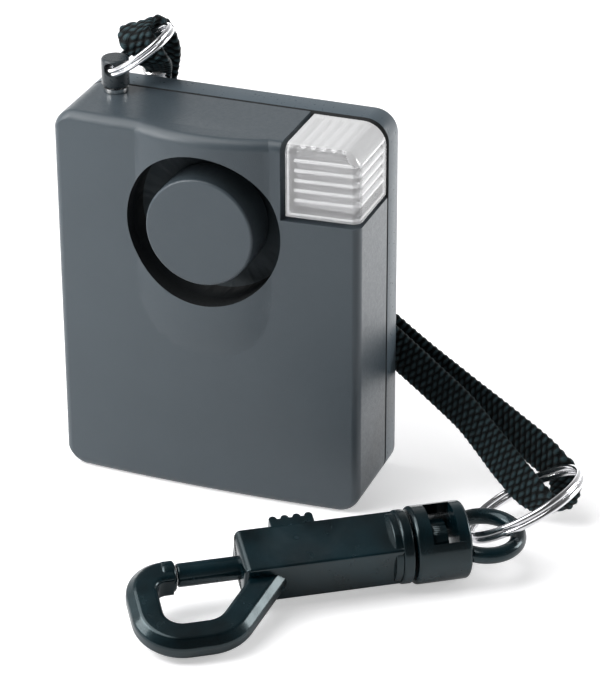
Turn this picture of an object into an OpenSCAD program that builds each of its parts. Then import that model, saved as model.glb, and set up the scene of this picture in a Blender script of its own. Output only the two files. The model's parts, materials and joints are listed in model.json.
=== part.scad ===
// Personal safety alarm: a two-part case with a siren horn and a strobe lens, a pull pin on a
// woven strap, and a swivel snap hook at the strap's other end.
// Millimetres, +Z up, the front of the case towards -Y, the origin under the middle of the case.

/* [Case] */
// Width of the case
case_w = 60; // [58:0.5:72]
// Height of the case
case_h = 74.2; // [72:0.2:90]
// How far the front bows out in the middle
front_bow = 1.2; // [0.8:0.1:2.4]
// Radius of the corners seen from the front
corner_r = 4.4; // [3.4:0.1:6]
// Radius of the front edge
edge_r = 1.8; // [1.2:0.1:2]
// Depth of the rear shell
rear_d = 6.4; // [5.8:0.1:8]
// Thickness of the walls
wall = 1.7; // [1.5:0.1:2]

/* [Raised tongue] */
// Half the width of the tongue on the front
tongue_half = 13.5; // [10:0.5:15]
// Height of the centre of its round lower end
tongue_z = 41; // [36:0.5:46]
// How far it stands out at the top
tongue_rise = 2.3; // [1:0.1:3]

/* [Siren] */
// Radius of the horn's mouth
horn_r = 15.1; // [13:0.1:15.4]
// Room between the horn's cup and the top wall
cup_room = 0; // [0:0.1:1]
// Depth of the horn below the front
horn_depth = 7.8; // [6:0.1:8.4]
// Radius of the round plug in the horn
plug_r = 10.5; // [8.5:0.1:11.5]

/* [Strobe] */
// Width of the lens
lens_w = 13.9; // [12:0.1:14]
// Height of the lens
lens_h = 14; // [12:0.1:14.4]
// Open joint between the lens and the case
lens_gap = 1; // [0.8:0.1:1.2]
// Spacing of the ribs inside the lens
rib_step = 1.95; // [1.6:0.05:2.4]

/* [Battery] */
// Length of the case beside the battery, for the snap and the leads
snap_room = 13.8; // [13.4:0.1:16]
// Height of the battery as it lies
batt_h = 26.5; // [25:0.1:26.6]
// Thickness of the battery
batt_t = 17.5; // [17:0.1:18]

/* [Pull pin] */
// Diameter of the pin's head
head_dia = 5.2; // [5:0.1:6]
// Height of the pin's head
head_h = 5.5; // [5.2:0.1:7]
// Diameter of the pin's shank
shank_dia = 2.5; // [2:0.1:2.6]
// Middle radius of the pin's split ring
pin_ring_r = 6.8; // [6.6:0.1:7]

/* [Strap] */
// Width of the strap
strap_w = 7.2; // [6:0.1:8]
// Thickness of the strap
strap_t = 1.3; // [1:0.1:1.4]

/* [Snap hook] */
// Diameter of the swivel barrel
barrel_dia = 14.3; // [13.6:0.1:14.4]
// Diameter of the bolt
bolt_dia = 4.3; // [3.8:0.1:4.6]
// Travel of the bolt
bolt_travel = 9; // [7:0.1:9]
// Width of the hook's bow
bow_w = 5.6; // [5:0.1:5.8]
// Thickness of the hook's bow
bow_t = 5; // [4.4:0.1:5.2]
// Middle radius of the hook's split ring
hook_ring_r = 11.6; // [11.4:0.1:11.8]

/* [Hidden] */
$fn = 64;
eps = 0.01;
// Clearances
batt_gap = 0.25;
run_gap = 0.05;
seat_gap = 0.12;
rest_gap = 0.25;
move_gap = 0.3;

// Case planes, front to rear
case_d = batt_t + 2 * (wall + batt_gap);
total_d = case_d + front_bow + tongue_rise;
y_rear = total_d / 2;
y_crest = -total_d / 2;
y_side = y_rear - case_d;
y_bow = y_side - front_bow;
y_in = y_side + wall;
y_rin = y_rear - wall;
y_part = y_rear - rear_d;
in_x = case_w / 2 - wall;
in_r = corner_r - wall;
bow_r = (case_w * case_w / 4 + front_bow * front_bow) / (2 * front_bow);
bow_span = 14;
bow_fn = 720;
bow_slab = 40;
rear_edge = 0.7;
seam = 0.7;
seam_depth = 0.9;

// Lip of the rear shell and battery space
lip_t = 0.9;
lip_h = 1.4;
lip_top = 25;
lip_in = seat_gap + lip_t;
batt_l = case_w - snap_room;
batt_x0 = -in_x + lip_in + move_gap;
batt_x1 = batt_x0 + batt_l;
batt_z0 = wall + lip_in + move_gap;
batt_z1 = batt_z0 + batt_h;
batt_r = 2.8;
shelf_z = batt_z1 + 0.4;
shelf_t = 1.2;
shelf_x1 = 14;

// Case screws
boss_r = 2.3;
boss_room = 4.1;
boss_x = in_x - boss_r - 0.2;
boss_low = shelf_z + shelf_t + boss_r - 0.4;
pilot_r = 0.8;
pilot_depth = 9;
screw_r = 0.78;
screw_head_r = 1.6;
screw_head_h = 1.3;
head_recess = 2.6;
recess_r = 1.75;
screw_hole_r = 1;
recess_slot = 0.45;

// Siren
cup_wall = 0.8;
cup_ro = horn_r + cup_wall;
cup_flange_r = horn_r + 2.2;
cup_flange_t = 1.2;
horn_z = case_h - wall - cup_flange_r - cup_room;
y_floor = y_bow + horn_depth;
floor_t = 1.4;
throat_r = 6;
y_cup = y_floor + floor_t;
cup_rim = 2.6;
rim_ri = horn_r - 1.2;
ledge_ri = rim_ri - 1.9;
ledge_h = 1.1;
plate_r = rim_ri - 0.2;
plate_t = 0.3;
ceramic_r = 9.5;
ceramic_t = 0.25;
cap_t = 1.2;
cap_h = 1.8;
y_siren = y_cup + ledge_h + plate_t + cap_h + cap_t / 2;
plug_face = y_crest + 0.35;
plug_wall = 1.6;
plug_edge = 0.5;
plug_lift = 1.6;
plug_leg_r = 1.2;
plug_leg_at = plug_r - 2.2;

// Strobe
lens_x0 = case_w / 2 - lens_w;
lens_z0 = case_h - lens_h;
lens_t = 1.4;
lens_back = y_part - 0.75;
lens_flange = lens_gap - seat_gap;
flange_y = y_side + 2.6;
flange_in = 2.2;
cut_x = lens_x0 - lens_gap;
cut_z = lens_z0 - lens_gap;
seat_t = 1.3;
boss_high = cut_z - seat_t - boss_r - boss_room;
seat_d = y_part - y_in + wall / 2 - seat_gap;
rib_r = 0.5;
rib_count = 5;
lens_cx = (lens_x0 + case_w / 2) / 2;
lens_cz = (lens_z0 + case_h) / 2;
tray_t = 1;
tray_gap = 0.2;
bowl_room = 0.65;
bowl_r = min(lens_w, lens_h) / 2 - lens_t - bowl_room;
bowl_depth = 4;
bowl_wall = 0.8;
lamp_r = 2.5;
lamp_flange_r = 2.9;
lamp_flange_t = 1;
lamp_body = 3.4;
leg_r = 0.28;
leg_space = 1.27;

// Circuit board
board_t = 1.2;
board_lift = 1.6;
y_board = y_rin - board_lift - board_t;
board_room = 2.5;
board_x = boss_x - boss_r - board_room;
board_z0 = shelf_z + shelf_t + 0.4;
board_z1 = case_h - wall - 1;
board_step = lens_z0 + 1;
board_tab_x = in_x - 1;
post_r = 1.7;
post_pin_r = 0.8;
post_x = board_x - 4;
post_low = board_z0 + 3;
post_high = board_z1 - 3;
part_gap = 0.5;
coil_r = 3;
coil_x = -post_x + post_pin_r + coil_r + 0.6;
coil_l = y_board - y_siren - 2 * part_gap;
coil_core_r = 1.3;
cap_r = 2.9;
cap_x = coil_x + coil_r + cap_r + 1.7;
cap_l = y_board - y_siren - part_gap;
chip_w = 6.2;
chip_x = cap_x + cap_r + chip_w / 2 + 4;
chip_h = 4.9;
chip_t = 1.6;
part_z = board_z0 + 3.4;

// Battery snap
terminal_space = 12.7;
stud_r = 2.85;
stud_l = 2.3;
cupel_ro = 4.3;
cupel_ri = 3.05;
snap_t = 1.2;
snap_w = 10;
snap_h = 24;
snap_gap = 0.1;
batt_y = (y_in + y_rin) / 2;
batt_zm = (batt_z0 + batt_z1) / 2;
lead_r = 0.6;
lead_sides = 8;
lead_steps = 4;
lead_out = 1.2;
lead_bend = 1.6;
lead_x = board_x - 2.6;
lead_space = 2;
red_rise = 3.5;
black_rise = 0.8;
snap_x1 = batt_x1 + stud_l + snap_gap + snap_t;

// Pull pin
pin_side = 7.7;
pin_x = -case_w / 2 + pin_side;
pin_y = y_part - 3;
shank_r = shank_dia / 2;
socket_r = 1.9;
socket_rim_r = 2.3;
socket_rim_h = 0.9;
socket_l = 6.5;
head_r = head_dia / 2;
head_z = case_h + socket_rim_h + rest_gap;
head_top = head_z + head_h;
head_edge = 0.5;
ring_hole_r = 1.25;
ring_hole_z = head_top - 1.7;
shank_top = head_z + 2;
shank_reach = 12.5;
shank_tip = case_h - shank_reach;
pin_travel = 14;
leaf_t = 0.3;
leaf_w = 2.4;
leaf_top = shank_tip + 3;
leaf_low = shank_tip - 5.5;
base_w = 6.4;
base_d = 4.6;
base_z0 = leaf_low - 1;
base_z1 = shank_tip - 2.6;
pin_wire = 0.45;
pin_ring_tilt = 36;
pin_ring_roll = 6;
pin_ring_lag = 0.25;

// Strap clamp
clamp_at = [-18.6, y_rear + 3.2, 67];
clamp_lean = 6;
clamp_r = 2.85;
clamp_wall = 0.45;
clamp_l = 7.4;
clamp_bead = 0.4;

// Snap hook frame: s along the hook from the swivel to the bow, t across, n up
hook_at = [50.97, -23.87, 7.2];
hook_head = -145.8;
hook_tilt = -15;
barrel_r = barrel_dia / 2;
barrel_s0 = -4.3;
barrel_s1 = 5.8;
barrel_edge = 0.7;
window_s0 = -1.9;
window_s1 = 2.9;
window_half = 4.6;
window_turn = -22;
chamber_r = 5.2;
eye_s = -8.4;
eye_r = 6.1;
eye_wire = 1.5;
eye_tilt = -5.4;
stem_r = 3;
stem_head_r = 4.2;
stem_head_s0 = -0.6;
stem_head_s1 = window_s1 - move_gap;
flange_s0 = 6.2;
flange_s1 = 8.4;
flange_r = 6.75;
flange_edge = 0.5;
collar_s1 = 9.7;
collar_r = 6.2;
collar_edge = 0.3;
body_s1 = 37.3;
body_half_t = 5.2;
body_half_n = 4.3;
body_cut = 0.9;
bolt_r = bolt_dia / 2;
bolt_bore_r = bolt_r + run_gap;
bolt_s0 = 26;
bolt_s1 = 48.6;
bore_s0 = 10.2;
bore_over = 1.5;
neck_s0 = 26.2;
neck_s1 = 29.4;
neck_half = 1.3;
slot_half = neck_half + move_gap;
slot_s0 = neck_s0 - bolt_travel - move_gap;
slot_s1 = neck_s1 + move_gap;
thumb_s0 = 22.1;
thumb_s1 = 30.2;
thumb_half = 3.2;
thumb_h = 2.2;
thumb_ribs = 4;
thumb_rib_r = 0.75;
tip_s0 = 48.9;
tip_s1 = 51.2;
tip_r = 2.75;
bow_cut = 1.5;
bow_inner_cut = 0.6;
nose_edge = 0.5;
arc_a = 4.85;
arc_b = 6.1;
arc_c = 7;
bow_s = 50.9;
bow_drop = 5;
bow_base = 4;
arm_turn = 50;
arm_l = 15.5;
spring_turns = 9;
spring_r = 1.55;
spring_wire = 0.2;
spring_sides = 6;
spring_steps = 12;
spring_end = 0.3;
hook_wire = 0.6;
hook_ring_at = [61.9, -7.65, 8.4];
hook_ring_n = [-0.53, 0.049, 0.846];

// Curves used by several pieces
function bow_y(x) = y_bow + bow_r - sqrt(bow_r * bow_r - x * x);
function unit(v) = v / norm(v);
function spline(a, b, c, d, t) = 0.5 * (2 * b + (c - a) * t + (2 * a - 5 * b + 4 * c - d) * t * t
    + (3 * b - a - 3 * c + d) * t * t * t);
function pick(list, i) = list[max(0, min(len(list) - 1, i))];
function along(list, u) = let (i = min(floor(u), len(list) - 2))
    spline(pick(list, i - 1), pick(list, i), pick(list, i + 1), pick(list, i + 2), u - i);
function lerp(list, u) = let (i = min(floor(u), len(list) - 2))
    list[i] + (list[i + 1] - list[i]) * (u - i);

// A tube or ribbon through route points, its section turned by the given side directions
module sweep(points, sides, section, widths, steps) {
    count = len(section);
    last = len(points) - 1;
    total = last * steps;
    rings = [for (k = [0 : total]) let (
        u = k / steps,
        p = along(points, u),
        d = unit(along(points, min(last, u + 0.01)) - along(points, max(0, u - 0.01))),
        w0 = lerp(sides, u),
        w = unit(w0 - (w0 * d) * d),
        n = cross(d, w),
        g = lerp(widths, u))
        [for (q = section) p + w * q[0] * g + n * q[1]]];
    faces = [for (k = [0 : total - 1]) for (j = [0 : count - 1]) each let (
        a = k * count + j,
        b = k * count + (j + 1) % count)
        [[a, a + count, b + count], [a, b + count, b]]];
    start = [[for (j = [0 : count - 1]) j]];
    end = [[for (j = [count - 1 : -1 : 0]) total * count + j]];
    polyhedron([for (r = rings) each r], concat(start, faces, end), convexity = 10);
}

function round_section(r, sides) = [for (j = [0 : sides - 1])
    [r * cos(360 * j / sides), r * sin(360 * j / sides)]];
function flat_section(w, t) = let (c = t * 0.3) [[w / 2, -t / 2 + c], [w / 2, t / 2 - c],
    [w / 2 - c, t / 2], [-w / 2 + c, t / 2], [-w / 2, t / 2 - c], [-w / 2, -t / 2 + c],
    [-w / 2 + c, -t / 2], [w / 2 - c, -t / 2]];

// Flat shapes with true arcs
module round_rect(w, h, r) {
    translate([-w / 2 + r, 0]) square([w - 2 * r, h]);
    translate([-w / 2, r]) square([w, h - 2 * r]);
    for (x = [-w / 2 + r, w / 2 - r])
        for (z = [r, h - r])
            translate([x, z]) circle(r);
}

module slab(y0, y1, w, z0, h, r) {
    translate([0, y1, z0]) rotate([90, 0, 0]) linear_extrude(y1 - y0) round_rect(w, h, r);
}

module y_rod(x, z, r, y0, y1) {
    translate([x, y1, z]) rotate([90, 0, 0]) cylinder(r = r, h = y1 - y0);
}

module x_rod(x0, x1, y, z, r) {
    translate([x0, y, z]) rotate([0, 90, 0]) cylinder(r = r, h = x1 - x0);
}

module turned(x, z, y0) {
    translate([x, y0, z]) rotate([-90, 0, 0]) rotate_extrude() children();
}

// Outside of the front shell: bowed front, rounded front edge, rounded corners
module bowed_block() {
    translate([0, y_bow + bow_r, 0]) rotate([0, 0, -90 - bow_span / 2])
        rotate_extrude(angle = bow_span, $fn = bow_fn) translate([bow_r - bow_slab, 0]) {
            square([bow_slab - edge_r, case_h]);
            translate([0, edge_r]) square([bow_slab, case_h - 2 * edge_r]);
            for (z = [edge_r, case_h - edge_r])
                translate([bow_slab - edge_r, z]) circle(edge_r);
        }
}

module plan_block() {
    side = case_w / 2 - edge_r;
    front = bow_y(side) + edge_r;
    linear_extrude(case_h) {
        translate([-side, y_crest]) square([2 * side, y_part - y_crest]);
        translate([-case_w / 2, front]) square([case_w, y_part - front]);
        for (x = [-side, side])
            translate([x, front]) circle(edge_r);
    }
}

module corner_block() {
    depth = y_part - bow_y(case_w / 2 - corner_r);
    full = y_part - y_crest;
    translate([-case_w / 2 + corner_r, y_crest, 0]) cube([case_w - 2 * corner_r, full, case_h]);
    translate([-case_w / 2, y_crest, corner_r]) cube([case_w, full, case_h - 2 * corner_r]);
    for (x = [-case_w / 2 + corner_r, case_w / 2 - corner_r])
        for (z = [corner_r, case_h - corner_r])
            translate([x, y_part, z]) rotate([90, 0, 0]) rotate_extrude() {
                square([corner_r, depth - edge_r]);
                square([corner_r - edge_r, depth]);
                translate([corner_r - edge_r, depth - edge_r]) intersection() {
                    circle(edge_r);
                    translate([-corner_r + edge_r, -edge_r]) square([corner_r, 2 * edge_r]);
                }
            }
}

module front_blank() {
    intersection() {
        bowed_block();
        plan_block();
        corner_block();
    }
}

// Raised tongue: a strongly curved upper part, and a flatter lower part with a round end.
// The horn's mouth lies between the two.
tongue_fade = 0.55;
tongue_low = tongue_rise * tongue_fade;
tongue_top_r = 1 / (2 * tongue_rise / (tongue_half * tongue_half) + 1 / bow_r);
tongue_low_r = 1 / (2 * tongue_low / (tongue_half * tongue_half) + 1 / bow_r);
tongue_span = 70;
tongue_edge = edge_r + 0.2;
tongue_slab = 8;
tongue_back = y_in - 0.3;

module tongue_top() {
    tall = case_h - horn_z;
    translate([0, y_crest + tongue_top_r, horn_z]) rotate([0, 0, -90 - tongue_span / 2])
        rotate_extrude(angle = tongue_span) translate([tongue_top_r - tongue_slab, 0]) {
            square([tongue_slab - tongue_edge, tall]);
            square([tongue_slab, tall - tongue_edge]);
            translate([tongue_slab - tongue_edge, tall - tongue_edge]) circle(tongue_edge);
        }
}

module tongue() {
    half = tongue_half + 3;
    intersection() {
        union() {
            tongue_top();
            translate([0, y_bow - tongue_low + tongue_low_r, tongue_z]) {
                sphere(tongue_low_r);
                cylinder(r = tongue_low_r, h = horn_z - tongue_z);
            }
        }
        translate([-half, y_crest - 1, tongue_z - 2 * tongue_half])
            cube([2 * half, tongue_back - y_crest + 1, case_h]);
    }
}

module boss_places() {
    for (x = [-boss_x, boss_x])
        for (z = [boss_low, boss_high])
            translate([x, 0, z]) children();
}

module lens_opening() {
    translate([cut_x, y_crest - 1, cut_z]) cube([case_w, y_part - y_crest + 2, case_h]);
}

module front_walls() {
    difference() {
        union() {
            difference() {
                front_blank();
                slab(y_in, y_part + eps, 2 * in_x, wall, case_h - 2 * wall, in_r);
            }
            boss_places() y_rod(0, 0, boss_r, y_in - wall / 2, y_part - seat_gap);
            difference() {
                union() {
                    translate([-in_x - wall / 2, y_in - wall / 2, shelf_z])
                        cube([shelf_x1 + in_x + wall / 2, y_part - y_in, shelf_t]);
                    translate([cut_x - seat_t, y_in - wall / 2, cut_z - seat_t])
                        cube([seat_t, seat_d, lens_h + lens_gap]);
                    translate([cut_x - seat_t, y_in - wall / 2, cut_z - seat_t])
                        cube([in_x - cut_x + seat_t + wall / 2, seat_d, seat_t]);
                }
                y_rod(0, horn_z, cup_flange_r + seat_gap, y_in, y_cup + cup_rim + 1);
            }
        }
        y_rod(0, horn_z, horn_r, y_crest - 1, y_in + eps);
        lens_opening();
        translate([pin_x, pin_y, case_h - wall - 1]) cylinder(r = socket_r + run_gap, h = wall + 2);
        boss_places() y_rod(0, 0, pilot_r, y_part - pilot_depth, y_part + eps);
    }
}

module front_shell() {
    color([0.36, 0.39, 0.42]) {
        front_walls();
        difference() {
            tongue();
            y_rod(0, horn_z, horn_r, y_crest - 1, y_in + eps);
            lens_opening();
        }
    }
}

module rear_blank() {
    inner_r = corner_r - rear_edge;
    slab(y_part, y_rear - rear_edge, case_w, 0, case_h, corner_r);
    slab(y_part, y_rear, case_w - 2 * rear_edge, rear_edge, case_h - 2 * rear_edge, inner_r);
    for (z = [rear_edge, case_h - rear_edge])
        translate([-case_w / 2 + corner_r, y_rear - rear_edge, z]) rotate([0, 90, 0])
            cylinder(r = rear_edge, h = case_w - 2 * corner_r);
    for (x = [-case_w / 2 + rear_edge, case_w / 2 - rear_edge])
        translate([x, y_rear - rear_edge, corner_r]) cylinder(r = rear_edge, h = case_h - 2 * corner_r);
    for (x = [-case_w / 2 + corner_r, case_w / 2 - corner_r])
        for (z = [corner_r, case_h - corner_r])
            translate([x, y_rear - rear_edge, z]) rotate([90, 0, 0])
                rotate_extrude() translate([inner_r, 0]) circle(rear_edge);
}

module board_posts(r, y0, y1) {
    for (p = [[-post_x, post_low], [post_x, post_low], [0, post_high]])
        y_rod(p[0], p[1], r, y0, y1);
}

module rear_shell() {
    color([0.36, 0.39, 0.42]) difference() {
        union() {
            difference() {
                rear_blank();
                slab(y_part - eps, y_rin, 2 * in_x, wall, case_h - 2 * wall, in_r);
                difference() {
                    slab(y_part - eps, y_part + seam, case_w + 2, -1, case_h + 2, corner_r);
                    slab(y_part - 1, y_part + 1, case_w - 2 * seam_depth, seam_depth,
                        case_h - 2 * seam_depth, corner_r - seam_depth);
                }
            }
            boss_places() y_rod(0, 0, boss_r, y_part, y_rear - wall / 2);
            board_posts(post_r, y_board + board_t, y_rear - wall / 2);
            board_posts(post_pin_r, y_board - 0.6, y_rear - wall / 2);
            intersection() {
                difference() {
                    slab(y_part - lip_h, y_part + wall, 2 * (in_x - seat_gap), wall + seat_gap,
                        case_h - 2 * (wall + seat_gap), in_r - seat_gap);
                    slab(y_part - lip_h - 1, y_part + wall + 1, 2 * (in_x - lip_in), wall + lip_in,
                        case_h - 2 * (wall + lip_in), in_r - lip_in);
                }
                translate([-case_w, y_part - lip_h, 0]) cube([2 * case_w, lip_h + wall, lip_top]);
            }
            for (x = [-in_x - wall / 2, in_x - lip_in])
                translate([x, y_part, corner_r]) cube([wall / 2 + lip_in, wall, lip_top - corner_r]);
            translate([-in_x + in_r, y_part, wall / 2]) cube([2 * (in_x - in_r), wall, wall / 2 + lip_in]);
        }
        boss_places() y_rod(0, 0, screw_hole_r, y_part - 1, y_rear + 1);
        boss_places() y_rod(0, 0, recess_r, y_rear - head_recess, y_rear + 1);
    }
}

module case_screws() {
    seat = y_rear - head_recess;
    color([0.75, 0.75, 0.77]) boss_places() difference() {
        union() {
            y_rod(0, 0, screw_head_r, seat, seat + screw_head_h);
            y_rod(0, 0, screw_r, y_part - pilot_depth + 1, seat + screw_head_h / 2);
        }
        for (a = [0, 90])
            rotate([0, a, 0]) translate([-screw_head_r * 0.6, seat + screw_head_h / 2, -recess_slot / 2])
                cube([screw_head_r * 1.2, screw_head_h, recess_slot]);
    }
}

// Siren: a cup behind the mouth, a plug on three legs over its throat, and the sounder behind
module horn_cup() {
    color([0.09, 0.1, 0.1]) turned(0, horn_z, y_in) {
        translate([horn_r, 0]) square([cup_flange_r - horn_r, cup_flange_t]);
        translate([horn_r, 0]) square([cup_wall, y_cup + cup_rim - y_in]);
        translate([throat_r, y_floor - y_in]) square([cup_ro - throat_r, floor_t]);
        translate([rim_ri, y_floor - y_in]) square([cup_ro - rim_ri, floor_t + cup_rim]);
        translate([ledge_ri, y_floor - y_in]) square([cup_ro - ledge_ri, floor_t + ledge_h]);
    }
}

module horn_plug() {
    rear = y_floor - plug_lift;
    color([0.36, 0.39, 0.42]) {
        turned(0, horn_z, plug_face) {
            translate([0, 0]) square([plug_r - plug_edge, plug_wall]);
            translate([plug_r - plug_wall, plug_edge]) square([plug_wall, rear - plug_face - plug_edge]);
            translate([plug_r - plug_edge, plug_edge]) circle(plug_edge);
        }
        for (a = [90, 210, 330])
            translate([plug_leg_at * cos(a), 0, plug_leg_at * sin(a)])
                y_rod(0, horn_z, plug_leg_r, plug_face + plug_wall / 2, y_floor);
    }
}

module siren_plate() {
    color([0.8, 0.65, 0.3]) y_rod(0, horn_z, plate_r, y_cup + ledge_h, y_cup + ledge_h + plate_t);
}

module siren_ceramic() {
    front = y_cup + ledge_h + plate_t;
    color([0.9, 0.9, 0.86]) y_rod(0, horn_z, ceramic_r, front, front + ceramic_t);
}

module siren_cap() {
    front = y_cup + ledge_h + plate_t;
    color([0.12, 0.12, 0.12]) turned(0, horn_z, front) {
        translate([ledge_ri, 0]) square([rim_ri - ledge_ri - run_gap, cap_h]);
        translate([0, cap_h - cap_t / 2]) square([rim_ri - run_gap, cap_t]);
    }
}

// Strobe: a clear ribbed corner lens, a bright tray with a bowl, and a lamp on two legs
module lens_block(x0, z0, y0, y1) {
    intersection() {
        front_blank();
        translate([x0, y0, z0]) cube([case_w, y1 - y0, case_h]);
    }
}

module strobe_lens() {
    right = case_w / 2 - lens_t;
    top = case_h - lens_t;
    front = y_side + lens_t;
    color([0.9, 0.93, 0.95, 0.5]) difference() {
        union() {
            difference() {
                union() {
                    lens_block(lens_x0, lens_z0, y_crest, lens_back);
                    translate([lens_x0 - lens_flange, flange_y, lens_z0 - lens_flange])
                        cube([lens_w + lens_flange - flange_in, lens_back - flange_y,
                            lens_h + lens_flange - flange_in]);
                }
                translate([lens_x0 + lens_t, front, lens_z0 + lens_t])
                    cube([lens_w - 2 * lens_t, lens_back - front + 1, lens_h - 2 * lens_t]);
            }
            for (k = [1 : rib_count]) {
                z = top - k * rib_step;
                x_rod(lens_x0 + lens_t / 2, right + lens_t / 2, front, z, rib_r);
                y_rod(right, z, rib_r, front, lens_back);
                y_rod(right - k * rib_step, top, rib_r, front, lens_back);
            }
        }
        y_rod(0, horn_z, cup_flange_r + move_gap, y_in - 1, y_cup + cup_rim + 1);
    }
}

module strobe_reflector() {
    tray_y = lens_back - tray_t;
    low = lens_t + rib_r + tray_gap;
    color([0.92, 0.92, 0.93]) difference() {
        union() {
            translate([lens_x0 + lens_t + tray_gap, tray_y, lens_z0 + lens_t + tray_gap])
                cube([lens_w - lens_t - low - tray_gap, tray_t, lens_h - lens_t - low - tray_gap]);
            translate([lens_cx - rib_r, lens_back, lens_cz - rib_r]) rotate([90, 0, 0])
                cylinder(r1 = lamp_flange_r + bowl_wall, r2 = bowl_r, h = bowl_depth);
        }
        translate([lens_cx - rib_r, lens_back - tray_t, lens_cz - rib_r]) rotate([90, 0, 0])
            cylinder(r1 = lamp_flange_r, r2 = bowl_r - bowl_wall / 2, h = bowl_depth - tray_t + eps);
        y_rod(lens_cx - rib_r, lens_cz - rib_r, lamp_r + seat_gap, lens_back - bowl_depth, lens_back + 1);
    }
}

module strobe_lamp() {
    place = [lens_cx - rib_r, lens_back, lens_cz - rib_r];
    color([0.96, 0.97, 0.98, 0.7]) translate(place) rotate([90, 0, 0]) {
        translate([0, 0, -lamp_flange_t]) cylinder(r = lamp_flange_r, h = lamp_flange_t);
        translate([0, 0, -lamp_flange_t / 2]) cylinder(r = lamp_r, h = lamp_body);
        translate([0, 0, lamp_body - lamp_flange_t / 2]) sphere(lamp_r);
    }
}

module lamp_legs() {
    color([0.8, 0.8, 0.82])
        for (x = [-leg_space, leg_space])
            y_rod(lens_cx - rib_r + x, lens_cz - rib_r, leg_r, lens_back + lamp_flange_t, y_board);
}

// Circuit board and what stands on it
module circuit_board() {
    color([0.1, 0.36, 0.2]) difference() {
        union() {
            translate([-board_x, y_board, board_z0]) cube([2 * board_x, board_t, board_z1 - board_z0]);
            translate([0, y_board, board_step]) cube([board_tab_x, board_t, board_z1 - board_step]);
            translate([pin_x - base_w / 2, y_board, base_z0])
                cube([base_w, board_t, base_z1 - base_z0]);
        }
        board_posts(post_pin_r + seat_gap, y_board - 1, y_board + board_t + 1);
    }
}

module siren_coil() {
    color([0.7, 0.4, 0.2]) difference() {
        y_rod(coil_x, part_z, coil_r, y_board - coil_l, y_board);
        y_rod(coil_x, part_z, coil_core_r + run_gap, y_board - coil_l - 1, y_board + 1);
    }
}

module coil_core() {
    color([0.25, 0.25, 0.26]) y_rod(coil_x, part_z, coil_core_r, y_board - coil_l - 0.4, y_board);
}

module capacitor() {
    color([0.15, 0.2, 0.4]) y_rod(cap_x, part_z, cap_r, y_board - cap_l, y_board);
}

module driver_chip() {
    color([0.1, 0.1, 0.1]) translate([chip_x - chip_w / 2, y_board - chip_t, part_z - chip_h / 2])
        cube([chip_w, chip_t, chip_h]);
}

// Battery, its terminals, the snap connector and the two leads
module battery() {
    color([0.2, 0.2, 0.22]) translate([batt_x0, batt_y, batt_z0]) rotate([90, 0, 90])
        linear_extrude(batt_l) round_rect(batt_t, batt_h, batt_r);
}

module battery_terminals() {
    color([0.8, 0.8, 0.8]) {
        x_rod(batt_x1, batt_x1 + stud_l, batt_y, batt_zm - terminal_space / 2, stud_r);
        difference() {
            x_rod(batt_x1, batt_x1 + stud_l, batt_y, batt_zm + terminal_space / 2, cupel_ro);
            x_rod(batt_x1 + 0.4, batt_x1 + stud_l + 1, batt_y, batt_zm + terminal_space / 2, cupel_ri);
        }
    }
}

module battery_snap() {
    face = batt_x1 + stud_l + snap_gap;
    color([0.1, 0.1, 0.1]) {
        translate([face, batt_y - snap_w / 2, batt_zm - snap_h / 2]) cube([snap_t, snap_w, snap_h]);
        x_rod(batt_x1 + 0.4 + snap_gap, face + snap_t / 2, batt_y, batt_zm + terminal_space / 2, stud_r);
        difference() {
            x_rod(batt_x1 + snap_gap, face + snap_t / 2, batt_y, batt_zm - terminal_space / 2, cupel_ro);
            x_rod(batt_x1, face, batt_y, batt_zm - terminal_space / 2, cupel_ri);
        }
    }
}

module lead(y, z, rise) {
    x = snap_x1 + lead_out;
    low = board_z0 + rise;
    points = [[snap_x1, y, z], [x, y, z + lead_bend], [x, y, batt_z1 - lead_out],
        [board_x + lead_out, y, batt_z1 + lead_bend], [board_x - lead_out, y + lead_r, low],
        [lead_x + lead_r, y_board - lead_bend, low + lead_out], [lead_x, y_board, low + lead_out]];
    side = [[0, 1, 0], [0, 1, 0], [0, 1, 0], [0, 1, 0], [0, 1, 0.4], [0, 0.5, 1], [0, 0, 1]];
    sweep(points, side, round_section(lead_r, lead_sides), [for (p = points) 1], lead_steps);
}

module lead_red() {
    color([0.7, 0.08, 0.06]) lead(batt_y - lead_space, batt_zm + terminal_space / 2, red_rise);
}

module lead_black() {
    color([0.06, 0.06, 0.06]) lead(batt_y + lead_space, batt_zm + lead_space, black_rise);
}

// Pull pin, its socket and the switch that it holds open
module pin_socket() {
    color([0.85, 0.86, 0.88]) translate([pin_x, pin_y, 0]) difference() {
        union() {
            translate([0, 0, case_h]) cylinder(r = socket_rim_r, h = socket_rim_h);
            translate([0, 0, case_h - socket_l]) cylinder(r = socket_r, h = socket_l + socket_rim_h / 2);
        }
        translate([0, 0, case_h - socket_l - 1])
            cylinder(r = shank_r + run_gap, h = socket_l + socket_rim_h + 2);
    }
}

module leaf_pair(extra) {
    gap = shank_r + move_gap;
    for (x = [-gap - leaf_t, gap])
        translate([pin_x + x - extra, pin_y - leaf_w / 2 - extra, leaf_low])
            cube([leaf_t + 2 * extra, leaf_w + 2 * extra, leaf_top - leaf_low]);
}

module switch_base() {
    color([0.14, 0.14, 0.14]) difference() {
        translate([pin_x - base_w / 2, pin_y - base_d / 2, base_z0])
            cube([base_w, y_board - pin_y + base_d / 2, base_z1 - base_z0]);
        leaf_pair(run_gap);
    }
}

module switch_leaves() {
    color([0.8, 0.6, 0.3]) leaf_pair(0);
}

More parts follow.
